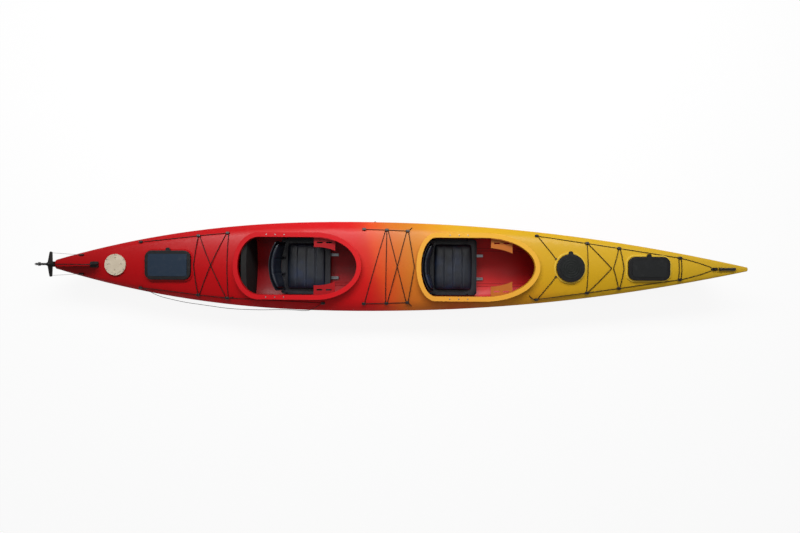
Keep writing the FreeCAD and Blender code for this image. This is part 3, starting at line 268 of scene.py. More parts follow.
def colour(red, green, blue):
    """Screen colour from 0 to 255 as the light it stands for."""
    shares = [value / 255 for value in (red, green, blue)]
    return tuple(s / 12.92 if s <= 0.04045 else ((s + 0.055) / 1.055) ** 2.4 for s in shares)


hull_length = 5.3
bow_x = hull_length / 2
gunwale_z = 0.235
bow_sheer = 0.165
bow_sheer_power = 2.2
stern_sheer = 0.055
stern_sheer_power = 2.0
deck_fade = [(0.0, (150, 3, 9)), (0.24, (170, 5, 12)), (0.42, (192, 14, 20)), (0.448, (196, 24, 22)),
             (0.463, (196, 44, 26)), (0.476, (206, 70, 28)), (0.490, (200, 84, 30)), (0.505, (196, 100, 32)),
             (0.525, (194, 112, 30)), (0.58, (202, 134, 26)), (0.68, (202, 154, 26)), (0.76, (198, 154, 24)),
             (0.88, (198, 158, 30)), (1.0, (194, 156, 38))]
lower_red = (160, 10, 20)
front_red = (190, 28, 30)
seam_blend = (-0.014, 0.004)
lip_levels = (0.3275, 0.3315)
rear_lip_starts = (-1.275, -1.268)
front_lip_starts = (0.13, 0.14)
front_lip_ends = (1.098, 1.104)
# Painted highlights: the tops of the coaming lips are drawn paler yellow at the front, and brighter red at the
# rear, than the deck round them.
front_lip_highlight = (240, 178, 66)
rear_lip_highlight = (206, 22, 34)
pad_outlines = [(1.919, 0.309, 0.180, 0.055), (1.331, 0.214, 0.214, 0.107)]
# Painted highlight: a pale yellow ring just outside each hatch pad, where the pad's edge catches the light.
rim_highlight_starts = (0.004, 0.007)
rim_highlight_ends = (0.013, 0.016)
rim_highlight_colour = (228, 200, 84)
scuff_heights = (0.02, 0.12)
scuff_colour = (196, 120, 112)
# Painted shade: two dark lines along the front cockpit floor stand in for the shade in its moulded grooves.
floor_grooves = (0.135, 0.156)
groove_width = 0.004
groove_starts = (0.60, 0.63)
groove_ends = (1.08, 1.12)
groove_heights = (0.10, 0.12)
groove_shade_colour = (70, 4, 10)

hull_finish = Finish("hull_moulding", Roughness=0.36, Specular_IOR_Level=0.22, IOR=1.5)
point = hull_finish.point()
x, y, z = hull_finish.axes(point)
share = (x + bow_x) / hull_length
cloud = hull_finish.noise(point, 5.0, 3.0)
fade = hull_finish.node("ShaderNodeValToRGB",
                        {"stops": [(place, colour(*tint)) for place, tint in deck_fade]},
                        share + (cloud - 0.5) * 0.016 + y * (x.ramp(0.1, 0.6) * 0.3 + 0.05))
bow_part = (x / bow_x).math("MAXIMUM", 0.0).math("POWER", bow_sheer_power) * bow_sheer
stern_part = (x * -1 / bow_x).math("MAXIMUM", 0.0).math("POWER", stern_sheer_power) * stern_sheer
seam = z - (bow_part + stern_part + gunwale_z)
below = 1 - (seam + (cloud - 0.5) * 0.012).ramp(*seam_blend)
inside_red = hull_finish.mix(x.ramp(-0.2, 0.3), colour(*lower_red), colour(*front_red))
two_tone = hull_finish.mix(below, fade, inside_red)
# Painted highlight on the tops of the coaming lips.
lip_highlight_mask = z.ramp(*lip_levels) * (1 - x.ramp(*front_lip_ends)) * x.ramp(*rear_lip_starts)
lip_front_highlight = lip_highlight_mask * x.ramp(*front_lip_starts)
lip_rear_highlight = lip_highlight_mask - lip_front_highlight
two_tone = hull_finish.mix(lip_front_highlight * 0.6, two_tone, colour(*front_lip_highlight))
two_tone = hull_finish.mix(lip_rear_highlight * 0.35, two_tone, colour(*rear_lip_highlight))
# Painted highlight round the front hatch and day hatch pads.
for centre_x, length, width, corner in pad_outlines:
    across = (y.size() - (width / 2 - corner)).math("MAXIMUM", 0.0)
    along = ((x - centre_x).size() - (length / 2 - corner)).math("MAXIMUM", 0.0)
    away = (across * across + along * along).math("SQRT") - corner
    rim_highlight = away.ramp(*rim_highlight_starts) - away.ramp(*rim_highlight_ends)
    two_tone = hull_finish.mix(rim_highlight * 0.5, two_tone, colour(*rim_highlight_colour))
scuff = hull_finish.noise(point, 60.0, 6.0, 0.7)
facing = hull_finish.node("ShaderNodeNewGeometry", None, out="Normal")
upward = hull_finish.node("ShaderNodeSeparateXYZ", None, facing, out=2)
low = (1 - z.ramp(*scuff_heights)) * (1 - upward.ramp(-0.6, -0.2))
worn = scuff.ramp(0.56, 0.66) * low * 0.5
two_tone = hull_finish.mix(worn, two_tone, colour(*scuff_colour))
# Painted shade in the floor grooves.
lines = [1 - (y.size() - reach).size().ramp(groove_width * 0.3, groove_width) for reach in floor_grooves]
on_floor = (1 - z.ramp(*groove_heights)) * upward.ramp(0.2, 0.5)
groove_shade = (lines[0] + lines[1]) * on_floor * (x.ramp(*groove_starts) - x.ramp(*groove_ends))
two_tone = hull_finish.mix(groove_shade * 0.45, two_tone, colour(*groove_shade_colour))
hull_finish.feed("Base Color", two_tone)
grain = hull_finish.noise(point, 420.0, 2.0)
hull_finish.feed("Roughness", cloud * 0.10 + grain * 0.06 + worn * 0.2 + 0.27)
hull_finish.bump(grain * 0.6 + hull_finish.noise(point, 38.0, 1.0) * 1.6, 0.0004, 0.5)


def smooth_copy(name, finish, body, angle=35.0):
    """Piece that stands for a node: its mesh merged and shaded smooth, except across real edges."""
    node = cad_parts[name]
    mesh = node.data.copy()
    mesh.materials.clear()
    mesh.materials.append(finish.material)
    work = bmesh.new()
    work.from_mesh(mesh)
    bmesh.ops.remove_doubles(work, verts=work.verts, dist=1e-6)
    for face in work.faces:
        face.smooth = True
    for edge in work.edges:
        if len(edge.link_faces) == 2:
            edge.smooth = edge.calc_face_angle(0.0) < math.radians(angle)
    work.to_mesh(mesh)
    work.free()
    piece = bpy.data.objects.new(name + "_finished", mesh)
    scene.collection.objects.link(piece)
    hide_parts(name)
    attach(piece, body)
    return piece


hull = smooth_copy("hull_shell", hull_finish, "hull")

# Closed-cell foam walls that divide the hull and stiffen the deck, cut with a knife and glued in.
foam_finish = Finish("foam_wall", Roughness=0.9, Specular_IOR_Level=0.25)
point = foam_finish.point()
cells = foam_finish.node("ShaderNodeTexVoronoi", None, point, out="Distance", Scale=420.0)
blotch = foam_finish.noise(point, 22.0, 3.0)
foam_finish.feed("Base Color", foam_finish.mix(blotch, colour(22, 22, 23), colour(40, 39, 38)))
foam_finish.bump(cells, 0.0008, 0.6)
for label in ("rear", "mid", "front", "bow"):
    piece = smooth_copy("bulkhead_" + label, foam_finish, "hull")

# Hatch covers of dull moulded rubber, snapped over the rims, each with a raised panel and a pull tab.
cover_finish = Finish("cover_rubber", Roughness=0.55, Specular_IOR_Level=0.35)
point = cover_finish.point()
x, y, z = cover_finish.axes(point)
# The rear panel's navy blue is a painted reflection of the sky over its dark rubber.
panel_tint_and_reflection = {"rear": (18, 36, 54), "front": (19, 21, 22), "day": (6, 11, 9)}
border_colour = (12, 12, 14)
hatch_at = {"rear": (-1.758, 0.352, 0.224), "front": (1.919, 0.309, 0.180), "day": (1.331, 0.214, 0.214)}
panel_inset = 0.026
panel_edge = 0.001
ring_spacing = 0.018
ring_reach = (0.07, 0.078)
cover_tint = colour(*border_colour)
for label, (centre_x, length, width) in hatch_at.items():
    away_x = (x - centre_x).size()
    away_y = y.size()
    reach_x = length / 2 - panel_inset
    reach_y = width / 2 - panel_inset
    if label == "day":
        radius = (away_x * away_x + away_y * away_y).math("SQRT")
        mask = 1 - radius.ramp(reach_y - panel_edge, reach_y + panel_edge)
        rings = (radius * (2 * math.pi / ring_spacing)).math("SINE") * (1 - radius.ramp(*ring_reach))
    else:
        mask = 1 - away_x.ramp(reach_x - panel_edge, reach_x + panel_edge)
        mask = mask * (1 - away_y.ramp(reach_y - panel_edge, reach_y + panel_edge))
    cover_tint = cover_finish.mix(mask, cover_tint, colour(*panel_tint_and_reflection[label]))
dust = cover_finish.noise(point, 30.0, 5.0, 0.65)
cover_tint = cover_finish.mix(dust.ramp(0.5, 0.9) * 0.18, cover_tint, colour(80, 82, 84))
cover_finish.feed("Base Color", cover_tint)
cover_finish.feed("Roughness", dust * 0.25 + 0.38)
cover_finish.bump(cover_finish.noise(point, 700.0, 2.0) + rings * 0.8, 0.0008, 0.5)
for label in hatch_at:
    piece = smooth_copy("hatch_cover_" + label, cover_finish, "hatch_" + label, 40.0)

# Soft rubber seals in the hatches: moulded rings that sit on the rims, under the covers, and keep
# the compartments dry.
seal_finish = Finish("seal_rubber", Roughness=0.6)
point = seal_finish.point()
bloom = seal_finish.noise(point, 90.0)
seal_finish.feed("Base Color", seal_finish.mix(bloom, colour(14, 14, 14), colour(34, 34, 34)))
seal_finish.bump(seal_finish.noise(point, 500.0), 0.0005, 0.4)
smooth_copy("hatch_seals", seal_finish, "hull")

# Round deck plate in pale moulded plastic: a ring screwed to the stern deck and a threaded lid
# with a grip across it. It lets a hand in behind the rear hatch.
plate_finish = Finish("pale_plastic", Roughness=0.4, Specular_IOR_Level=0.45)
point = plate_finish.point()
tone = plate_finish.noise(point, 24.0, 4.0)
plate_finish.feed("Base Color", plate_finish.mix(tone, colour(176, 162, 140), colour(204, 192, 172)))
plate_finish.feed("Roughness", tone * 0.2 + 0.3)
plate_finish.bump(plate_finish.noise(point, 800.0), 0.0004, 0.35)
smooth_copy("deck_plate_ring", plate_finish, "hull")
smooth_copy("deck_plate_lid", plate_finish, "deck_plate")

# Seat pans and backrest shells of black moulded plastic, with a fine leather-like grain. The pans
# slide on the rails, and the shells tilt on pins at the back of the pans.
seat_finish = Finish("seat_plastic", Roughness=0.35, Specular_IOR_Level=0.5)
point = seat_finish.point()
pebble = seat_finish.node("ShaderNodeTexVoronoi", None, point, out="Distance", Scale=520.0)
wear = seat_finish.noise(point, 18.0, 5.0, 0.6)
seat_finish.feed("Base Color", seat_finish.mix(wear, colour(15, 16, 21), colour(31, 33, 42)))
seat_finish.feed("Roughness", wear * 0.25 + 0.24)
seat_finish.bump(pebble, 0.0006, 0.35)
for label in ("rear", "front"):
    smooth_copy("seat_pan_" + label, seat_finish, "seat_" + label)
    smooth_copy("backrest_shell_" + label, seat_finish, "backrest_" + label)

# Seat pads: foam in coated navy-black fabric, crowned, with three sewn channels across and a piped
# edge. They lie in the pans and slide with them.
pad_channels = 3
pad_corner_power = 5.0
pad_corner_cut = 0.055
pad_waist = 0.03
pad_trim = 0.985
pad_edge_height = 0.34
pad_crown = 0.64
pad_under_gap = 0.0006
pad_rows = 72
pad_columns = 64
weave_pitch = 0.0016

pad_finish = Finish("coated_fabric", Roughness=0.34, Specular_IOR_Level=0.5, Coat_Weight=0.3,
                    Coat_Roughness=0.28)
point = pad_finish.point()
x, y, z = pad_finish.axes(point)
weave_x = (x * (2 * math.pi / weave_pitch)).math("SINE")
weave_y = (y * (2 * math.pi / weave_pitch)).math("SINE")
crease = pad_finish.noise(point, 26.0, 4.0, 0.6)
painted_sheen = pad_finish.noise(point, 7.0, 2.0)
# Painted shade and sheen: the fabric is darker in the hollows of the creases and lighter navy on their tops,
# and broad patches of painted bluish sheen lie over it.
pad_tint_and_crease_shade = pad_finish.mix(crease, colour(7, 11, 18), colour(20, 30, 46))
pad_finish.feed("Base Color", pad_finish.mix(painted_sheen.ramp(0.5, 0.8) * 0.6, pad_tint_and_crease_shade, colour(30, 48, 84)))
pad_finish.feed("Roughness", crease * 0.22 + 0.24)
pad_finish.bump(weave_x * weave_y * 0.25 + crease * 3.0, 0.0007, 0.6)


def crowned(u, v, power, seams, depth, width):
    """Height share over a pad, u and v from -1 to 1: crowned, with sewn channels across u."""
    rise = max(0.0, 1 - abs(u) ** power) ** 0.5 * max(0.0, 1 - abs(v) ** 4) ** 0.5
    for i in range(seams):
        line = -1 + 2 * (i + 1) / (seams + 1)
        rise -= depth * math.exp(-((u - line) / width) ** 2) * max(0.0, 1 - abs(v) ** 6)
    return rise


def seat_pad_spots(low, high, u, v):
    """Spots of a seat pad's top and underside in its box, u along and v across."""
    size = high - low
    pull = 1 - pad_waist * (1 - u * u) * abs(v) ** 3
    round_x = 1 - pad_corner_cut * abs(v) ** pad_corner_power * abs(u) ** 2
    round_y = 1 - pad_corner_cut * abs(u) ** pad_corner_power * abs(v) ** 2
    along = (low.x + high.x) / 2 + size.x / 2 * u * round_x * pad_trim
    across = size.y / 2 * v * round_y * pull * pad_trim
    wrinkle = 0.012 * math.sin(9 * u + 4 * v) * math.sin(7 * v - 3 * u)
    lift = crowned(u, v, 4, pad_channels, 0.20, 0.035) + wrinkle
    top = low.z + size.z * (pad_edge_height + pad_crown * lift)
    under = low.z + size.z * pad_edge_height * max(abs(u), abs(v)) ** 8 + pad_under_gap
    return (along, across, top), (along, across, under)


def closed_pad(name, rows, columns, spots):
    """Closed pad of two skins that meet at its edge. spots gives the place of both at u and v."""
    work = bmesh.new()
    outer = []
    inner = []
    for i in range(rows + 1):
        outer.append([])
        inner.append([])
        for j in range(columns + 1):
            seen, hidden = spots(-1 + 2 * i / rows, -1 + 2 * j / columns)
            outer[i].append(work.verts.new(seen))
            edge = i in (0, rows) or j in (0, columns)
            inner[i].append(outer[i][j] if edge else work.verts.new(hidden))
    for i in range(rows):
        for j in range(columns):
            work.faces.new((outer[i][j], outer[i + 1][j], outer[i + 1][j + 1], outer[i][j + 1]))
            work.faces.new((inner[i][j], inner[i][j + 1], inner[i + 1][j + 1], inner[i + 1][j]))
    bmesh.ops.recalc_face_normals(work, faces=work.faces)
    for face in work.faces:
        face.smooth = True
    mesh = bpy.data.meshes.new(name)
    work.to_mesh(mesh)
    work.free()
    mesh.materials.append(pad_finish.material)
    pad = bpy.data.objects.new(name, mesh)
    scene.collection.objects.link(pad)
    return pad


for label in ("rear", "front"):
    low_corner, high_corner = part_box("seat_pad_" + label)
    pad = closed_pad("seat_cushion_" + label, pad_rows, pad_columns,
                     lambda u, v: seat_pad_spots(low_corner, high_corner, u, v))
    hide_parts("seat_pad_" + label)
    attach(pad, "seat_" + label)

# Backrest pads: the same fabric over a curved foam, fatter in the middle, with two upright seams. Each
# is glued to its shell and tilts with it.
backrest_radius = 0.330
backrest_half_width = 0.180
backrest_pad_depth = 0.036
backrest_pad_gap = 0.0005
backrest_edge_depth = 0.3
backrest_crown = 0.66
backrest_pad_low = 0.0146
backrest_pad_high = 0.170
backrest_base = Vector((-0.019, 0, 0.024))
backrest_lean = 12.0
backrest_seams = 2
back_columns = 72
back_rows = 36


def backrest_pad_spots(pivot, u, v):
    """Spots of a backrest pad's front and back, u round it and v up, leaning over the hinge at pivot."""
    half = math.asin(backrest_half_width / backrest_radius)
    lean = math.radians(-backrest_lean)
    angle = math.pi + half * u * (1 - 0.02 * abs(v) ** 5)
    middle = (backrest_pad_low + backrest_pad_high) / 2
    tall = (backrest_pad_high - backrest_pad_low) / 2 * (1 - 0.16 * abs(u) ** 4)
    height = middle + tall * v * (1 - 0.06 * abs(u) ** 6)
    out = Vector((math.cos(angle), math.sin(angle), 0))
    centre = backrest_base + Vector((backrest_radius, 0, height))
    rise = crowned(u, v, 5, backrest_seams, 0.22, 0.03)
    near = max(abs(u), abs(v))
    spots = []
    for share in (backrest_edge_depth + backrest_crown * rise, backrest_edge_depth * near ** 8):
        away = centre + out * (backrest_radius - backrest_pad_gap - backrest_pad_depth * share)
        across = away.x * math.cos(lean) + away.z * math.sin(lean)
        upward = away.z * math.cos(lean) - away.x * math.sin(lean)
        spots.append(pivot + Vector((across, away.y, upward)))
    return spots


for label in ("rear", "front"):
    low_corner, high_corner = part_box("backrest_pins_" + label)
    pivot = (low_corner + high_corner) / 2
    pivot.y = 0
    pad = closed_pad("backrest_cushion_" + label, back_columns, back_rows,
                     lambda u, v: backrest_pad_spots(pivot, u, v))
    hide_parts("backrest_pad_" + label)
    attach(pad, "backrest_" + label)

# Seat and foot rails: drawn aluminium, anodised, riveted to the moulding. The die leaves fine lines
# along each rail.
rail_finish = Finish("rail_aluminium", Metallic=1.0, Roughness=0.35)
point = rail_finish.point()
stretched = rail_finish.node("ShaderNodeMapping", None, point, None, None, (2.0, 260.0, 260.0))
drawn = rail_finish.noise(stretched, 1.0, 3.0)
rail_finish.feed("Base Color", rail_finish.mix(drawn, colour(120, 122, 126), colour(156, 158, 162)))
rail_finish.feed("Roughness", drawn * 0.25 + 0.25)
for name in ("seat_rails_rear", "seat_rails_front", "foot_rails_rear", "foot_rails_front"):
    smooth_copy(name, rail_finish, "hull")

# Pedals, deck fittings, the rudder's frame and other small parts, injection moulded in black nylon
# with a matt grain.
nylon_finish = Finish("black_nylon", Roughness=0.42, Specular_IOR_Level=0.45)
point = nylon_finish.point()
haze = nylon_finish.noise(point, 45.0, 4.0, 0.6)
nylon_finish.feed("Base Color", nylon_finish.mix(haze, colour(18, 16, 16), colour(38, 34, 32)))
nylon_finish.feed("Roughness", haze * 0.3 + 0.28)
nylon_finish.bump(nylon_finish.noise(point, 900.0), 0.0004, 0.4)
for label in ("rear", "front"):
    for side in ("port", "starboard"):
        name = "pedal_" + label + "_" + side
        smooth_copy(name, nylon_finish, name)
nylon_on_hull = ["deck_fittings_rear", "deck_fittings_mid", "deck_fittings_front", "rudder_bracket",
                 "blade_rest", "cable_glands", "toggle_eye", "gunwale_eye", "cable_tubes"]
for name in nylon_on_hull:
    smooth_copy(name, nylon_finish, "hull")
smooth_copy("rudder_yoke", nylon_finish, "rudder_head")
smooth_copy("bow_toggle", nylon_finish, "toggle", 50.0)

# Thigh braces under the sides of each coaming: plastic plates moulded in the boat's colours and
# bolted on, with two slots for a strap.
brace_finish = Finish("brace_plastic", Roughness=0.4, Specular_IOR_Level=0.2)
point = brace_finish.point()
x = brace_finish.axes(point)[0]
patch = brace_finish.noise(point, 14.0, 3.0)
brace_tint = brace_finish.mix(x.ramp(-0.1, 0.1), colour(158, 12, 22), colour(186, 106, 40))
brace_finish.feed("Base Color", brace_finish.mix(patch * 0.3, brace_tint, colour(110, 22, 18)))
brace_finish.feed("Roughness", patch * 0.2 + 0.3)
brace_finish.bump(brace_finish.noise(point, 420.0), 0.0004, 0.4)
for label in ("rear", "front"):
    for side in ("port", "starboard"):
        smooth_copy("thigh_brace_" + label + "_" + side, brace_finish, "hull")

# Pins and bolts of turned stainless steel: the rudder's pin, the blade's bolt, the bolts through the
# coamings and the pins of the backrests.
steel_finish = Finish("stainless", Metallic=1.0, Roughness=0.28)
point = steel_finish.point()
turned_marks = steel_finish.noise(point, 320.0, 3.0)
steel_finish.feed("Base Color", steel_finish.mix(turned_marks, colour(150, 150, 150), colour(190, 190, 192)))
steel_finish.feed("Roughness", turned_marks * 0.2 + 0.2)
smooth_copy("rudder_pin", steel_finish, "hull")
smooth_copy("coaming_bolts", steel_finish, "hull")
smooth_copy("blade_bolt", steel_finish, "rudder_head")
for label in ("rear", "front"):
    smooth_copy("backrest_pins_" + label, steel_finish, "seat_" + label)

# Rudder blade cut from aluminium plate and black anodised, with rubbed patches. It turns on one
# bolt.
blade_finish = Finish("anodised_blade", Metallic=0.6, Roughness=0.4)
point = blade_finish.point()
rubbed = blade_finish.noise(point, 26.0, 6.0, 0.7)
bare = rubbed.ramp(0.6, 0.8) * 0.4
blade_finish.feed("Base Color", blade_finish.mix(bare, colour(26, 26, 28), colour(96, 96, 98)))
blade_finish.feed("Roughness", rubbed * 0.3 + 0.25)
smooth_copy("rudder_blade", blade_finish, "blade")

# Braided cords. The elastic ones cross the deck between the fittings, and the thin lines run along
# its edges. Each is tied or hooked to nylon fittings that are screwed to the moulding.
cord_thickness = 0.006
line_thickness = 0.005
lift_line_thickness = 0.004
cord_clearance = 0.0012
fitting_length = 0.030
fitting_width = 0.020
grip_depth = 0.002
vee_lift = 0.002
braid_pitch = 900.0

cord_finish = Finish("braided_cord", Roughness=0.75, Specular_IOR_Level=0.3)
run = cord_finish.node("ShaderNodeAttribute", {"attribute_name": "cord_run"}, out="Fac")
turn = cord_finish.node("ShaderNodeAttribute", {"attribute_name": "cord_turn"}, out="Fac")
one_way = (run * braid_pitch + turn * (4 * math.pi)).math("SINE")
other_way = (run * braid_pitch - turn * (4 * math.pi)).math("SINE")
braid = one_way.math("MAXIMUM", other_way)
fleck = braid.ramp(0.7, 0.95) * 0.5
cord_finish.feed("Base Color", cord_finish.mix(fleck, colour(13, 9, 8), colour(42, 31, 27)))
cord_finish.bump(braid, 0.0006, 0.6)


def cord_tree():
    """Geometry nodes that sweep a round section along a curve and note the way along and round it."""
    tree = bpy.data.node_groups.new("round_cord", "GeometryNodeTree")
    tree.interface.new_socket(name="Route", in_out="INPUT", socket_type="NodeSocketGeometry")
    thick = tree.interface.new_socket(name="Thickness", in_out="INPUT", socket_type="NodeSocketFloat")
    thick.default_value = cord_thickness
    sides = tree.interface.new_socket(name="Sides", in_out="INPUT", socket_type="NodeSocketInt")
    sides.default_value = 10
    finish = tree.interface.new_socket(name="Finish", in_out="INPUT", socket_type="NodeSocketMaterial")
    finish.default_value = cord_finish.material
    tree.interface.new_socket(name="Cord", in_out="OUTPUT", socket_type="NodeSocketGeometry")

    add = tree.nodes.new
    link = tree.links.new
    entry = add("NodeGroupInput")
    leave = add("NodeGroupOutput")
    half = add("ShaderNodeMath")
    half.operation = "MULTIPLY"
    half.inputs[1].default_value = 0.5
    link(entry.outputs["Thickness"], half.inputs[0])
    ring = add("GeometryNodeCurvePrimitiveCircle")
    link(entry.outputs["Sides"], ring.inputs["Resolution"])
    link(half.outputs[0], ring.inputs["Radius"])
    along = add("GeometryNodeSplineParameter")
    keep_run = add("GeometryNodeCaptureAttribute")
    keep_run.capture_items.new("FLOAT", "run")
    keep_turn = add("GeometryNodeCaptureAttribute")
    keep_turn.capture_items.new("FLOAT", "turn")
    link(entry.outputs["Route"], keep_run.inputs["Geometry"])
    link(along.outputs["Length"], keep_run.inputs[1])
    link(ring.outputs["Curve"], keep_turn.inputs["Geometry"])
    link(along.outputs["Factor"], keep_turn.inputs[1])
    sweep = add("GeometryNodeCurveToMesh")
    sweep.inputs["Fill Caps"].default_value = True
    link(keep_run.outputs["Geometry"], sweep.inputs["Curve"])
    link(keep_turn.outputs["Geometry"], sweep.inputs["Profile Curve"])
    result = sweep.outputs["Mesh"]
    for name, socket in (("cord_run", keep_run.outputs[1]), ("cord_turn", keep_turn.outputs[1])):
        store = add("GeometryNodeStoreNamedAttribute")
        store.data_type = "FLOAT"
        store.inputs["Name"].default_value = name
        link(result, store.inputs["Geometry"])
        link(socket, store.inputs["Value"])
        result = store.outputs["Geometry"]
    smooth = add("GeometryNodeSetShadeSmooth")
    link(result, smooth.inputs["Geometry"])
    whole = add("GeometryNodeRealizeInstances")
    link(smooth.outputs["Geometry"], whole.inputs["Geometry"])
    dressed = add("GeometryNodeSetMaterial")
    link(whole.outputs["Geometry"], dressed.inputs["Geometry"])
    link(entry.outputs["Finish"], dressed.inputs["Material"])
    link(dressed.outputs["Geometry"], leave.inputs["Cord"])
    return tree


round_cord = cord_tree()


def add_route(data, route):
    """Smooth spline through a route, from end to end."""
    spline = data.splines.new("NURBS")
    spline.points.add(len(route) - 1)
    for place, spot in zip(spline.points, route):
        place.co = (*spot, 1)
    spline.order_u = 3
    spline.use_endpoint_u = True


def grown(name, data, tree, wanted):
    """Mesh piece that a node group makes of a curve or of points, with the group's sockets set."""
    holder = bpy.data.objects.new(name, data)
    scene.collection.objects.link(holder)
    modifier = holder.modifiers.new("form", "NODES")
    modifier.node_group = tree
    for item in tree.interface.items_tree:
        if item.in_out == "INPUT" and item.name in wanted:
            modifier[item.identifier] = wanted[item.name]
    mesh = bpy.data.meshes.new_from_object(holder.evaluated_get(bpy.context.evaluated_depsgraph_get()))
    bpy.data.objects.remove(holder)
    piece = bpy.data.objects.new(name, mesh)
    scene.collection.objects.link(piece)
    return piece


def cords(name, routes, thickness, sides=10, finish=cord_finish):
    """One mesh of several cords, each a smooth spline through its route."""
    data = bpy.data.curves.new(name, "CURVE")
    data.dimensions = "3D"
    data.resolution_u = 6
    for route in routes:
        add_route(data, route)
    wanted = {"Thickness": thickness, "Sides": sides, "Finish": finish.material}
    return grown(name, data, round_cord, wanted)


deck_tree = BVHTree.FromObject(hull, bpy.context.evaluated_depsgraph_get())


def hit(surface, start, way=(0, 0, -1)):
    """Where a ray meets a surface, and the way the surface faces there."""
    return surface.ray_cast(Vector(start), Vector(way))[:2]


def on_deck(x, y, lift):
    """Point over the moulding at x and y, lifted square to it."""
    spot, normal = hit(deck_tree, (x, y, 1.0))
    return spot + normal * lift


def across_deck(start, end, thickness, start_shift=0.0, end_shift=0.0, hump=0.0, stops=8):
    """Taut route between two fittings over the crowned deck, up to the sides of their blocks."""
    first = Vector((start[0] + start_shift, start[1]))
    last = Vector((end[0] + end_shift, end[1]))
    way = last - first
    total = way.length
    way.normalize()
    out_of_end = fitting_length / 2 / max(abs(way.x), 1e-6)
    out_of_side = fitting_width / 2 / max(abs(way.y), 1e-6)
    reach = min(out_of_end, out_of_side) - grip_depth
    route = []
    for i in range(stops + 1):
        share = i / stops
        spot = first + way * (reach + (total - 2 * reach) * share)
        lift = thickness / 2 + cord_clearance + hump * math.sin(math.pi * share) ** 4
        route.append(on_deck(spot.x, spot.y, lift))
    return route


def vee(place, apex_x, shift=0.0):
    """Route from one side to the other, drawn to an apex on the centreline."""
    lift = cord_thickness / 2 + cord_clearance + vee_lift
    route = []
    for share in (0.0, 0.16, 0.33, 0.5, 0.66, 0.82, 0.94):
        across = (place[1] - fitting_width / 2 + grip_depth) * (1 - share)
        along = place[0] + shift + (apex_x - place[0] - shift) * share
        route.append(on_deck(along, across, lift))
    middle = on_deck(apex_x, 0.0, lift)
    other = [Vector((spot.x, -spot.y, spot.z)) for spot in reversed(route)]
    return route + [middle, middle.copy()] + other


def port(place):
    return (place[0], abs(place[1]))


def starboard(place):
    return (place[0], -abs(place[1]))


stern_fitting = (-1.986, 0.174)
fitting_a = (-1.539, 0.228)
fitting_b = (-1.313, 0.251)
fitting_1 = (-0.255, 0.288)
fitting_2 = (-0.079, 0.284)
fitting_3 = (0.083, 0.277)
fitting_d = (1.084, 0.244)
fitting_e = (1.466, 0.190)
fitting_f = (1.705, 0.153)
fitting_g = (2.154, 0.082)
day_hatch_eye = (1.222, 0.069)
lift_guide = (-0.571, 0.286)
bow_eye_way = [(2.166, 0.0795), (2.190, 0.0735), (2.240, 0.060), (2.290, 0.0445), (2.325, 0.033),
               (2.380, 0.012)]

rear_web = [vee(fitting_a, -1.562)]
rear_web.append(across_deck(starboard(fitting_a), port(fitting_b), cord_thickness, 0.010, -0.008, 0.008))
rear_web.append(across_deck(starboard(fitting_b), port(fitting_a), cord_thickness, -0.008, 0.010))
rear_web.append(across_deck(starboard(fitting_b), port(fitting_b), cord_thickness, 0.008, 0.008))
mid_web = [across_deck(starboard(fitting_1), port(fitting_2), cord_thickness, 0.005, -0.009)]
mid_web.append(across_deck(starboard(fitting_2), port(fitting_2), cord_thickness, -0.006, 0.0))
mid_web.append(across_deck(starboard(fitting_2), port(fitting_3), cord_thickness, 0.007, -0.007, 0.008))
mid_web.append(across_deck(starboard(fitting_3), port(fitting_2), cord_thickness, -0.007, 0.009))
mid_web.append(vee(fitting_3, 0.136, 0.007))
front_web = []
for side in (port, starboard):
    front_web.append(across_deck(side(fitting_d), side(day_hatch_eye), cord_thickness, 0.006))
front_web.append(across_deck(starboard(fitting_e), port(fitting_e), cord_thickness, -0.002, 0.0))
front_web.append(vee(fitting_e, 1.642, 0.010))
front_web.append(vee(fitting_f, 1.656, -0.004))
front_web.append(vee(fitting_f, 1.735, 0.009))
front_web.append(across_deck(starboard(fitting_g), port(fitting_g), cord_thickness, -0.009, -0.009))
front_web.append(across_deck(starboard(fitting_g), port(fitting_g), cord_thickness, 0.010, 0.010))
tails = {"rear": [((-1.328, -0.2505), (-1.348, -0.2490), (-1.368, -0.2440)),
                  ((-1.298, -0.2515), (-1.282, -0.2500), (-1.266, -0.2440))],
         "mid": [((0.096, 0.2830), (0.106, 0.2920), (0.117, 0.3020)),
                 ((0.096, -0.2830), (0.106, -0.2920), (0.117, -0.3020))],
         "front": [((1.070, -0.2440), (1.050, -0.2380), (1.036, -0.2270), (1.028, -0.2150))]}
for label, web in (("rear", rear_web), ("mid", mid_web), ("front", front_web)):
    for tail in tails[label]:
        web.append([on_deck(x, y, cord_thickness / 2 + cord_clearance) for x, y in tail])
for name, web in (("bungee_rear", rear_web), ("bungee_mid", mid_web), ("bungee_front", front_web)):
    piece = cords(name + "_braided", web, cord_thickness)
    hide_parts(name)
    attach(piece, "hull")


def edge_run(places, side, thickness):
    """Routes of the thin line along one edge of the deck."""
    routes = []
    for near, far in zip(places, places[1:]):
        routes.append(across_deck((near[0], side * near[1]), (far[0], side * far[1]), thickness))
    return routes


def line_to_eye(side):
    """Route from the foremost fitting in to the foot of the bow eye."""
    route = []
    for x, y in bow_eye_way:
        route.append(on_deck(x, side * y, line_thickness / 2 + cord_clearance))
    return route


edge_lines = []
for side in (1, -1):
    edge_lines += edge_run([fitting_1, fitting_2, fitting_3], side, line_thickness)
    edge_lines += edge_run([fitting_d, fitting_e, fitting_f, fitting_g], side, line_thickness)
    edge_lines.append(line_to_eye(side))
edge_lines += edge_run([stern_fitting, fitting_a, fitting_b], 1, line_thickness)
piece = cords("deck_lines_braided", edge_lines, line_thickness)
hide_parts("deck_lines")
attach(piece, "hull")

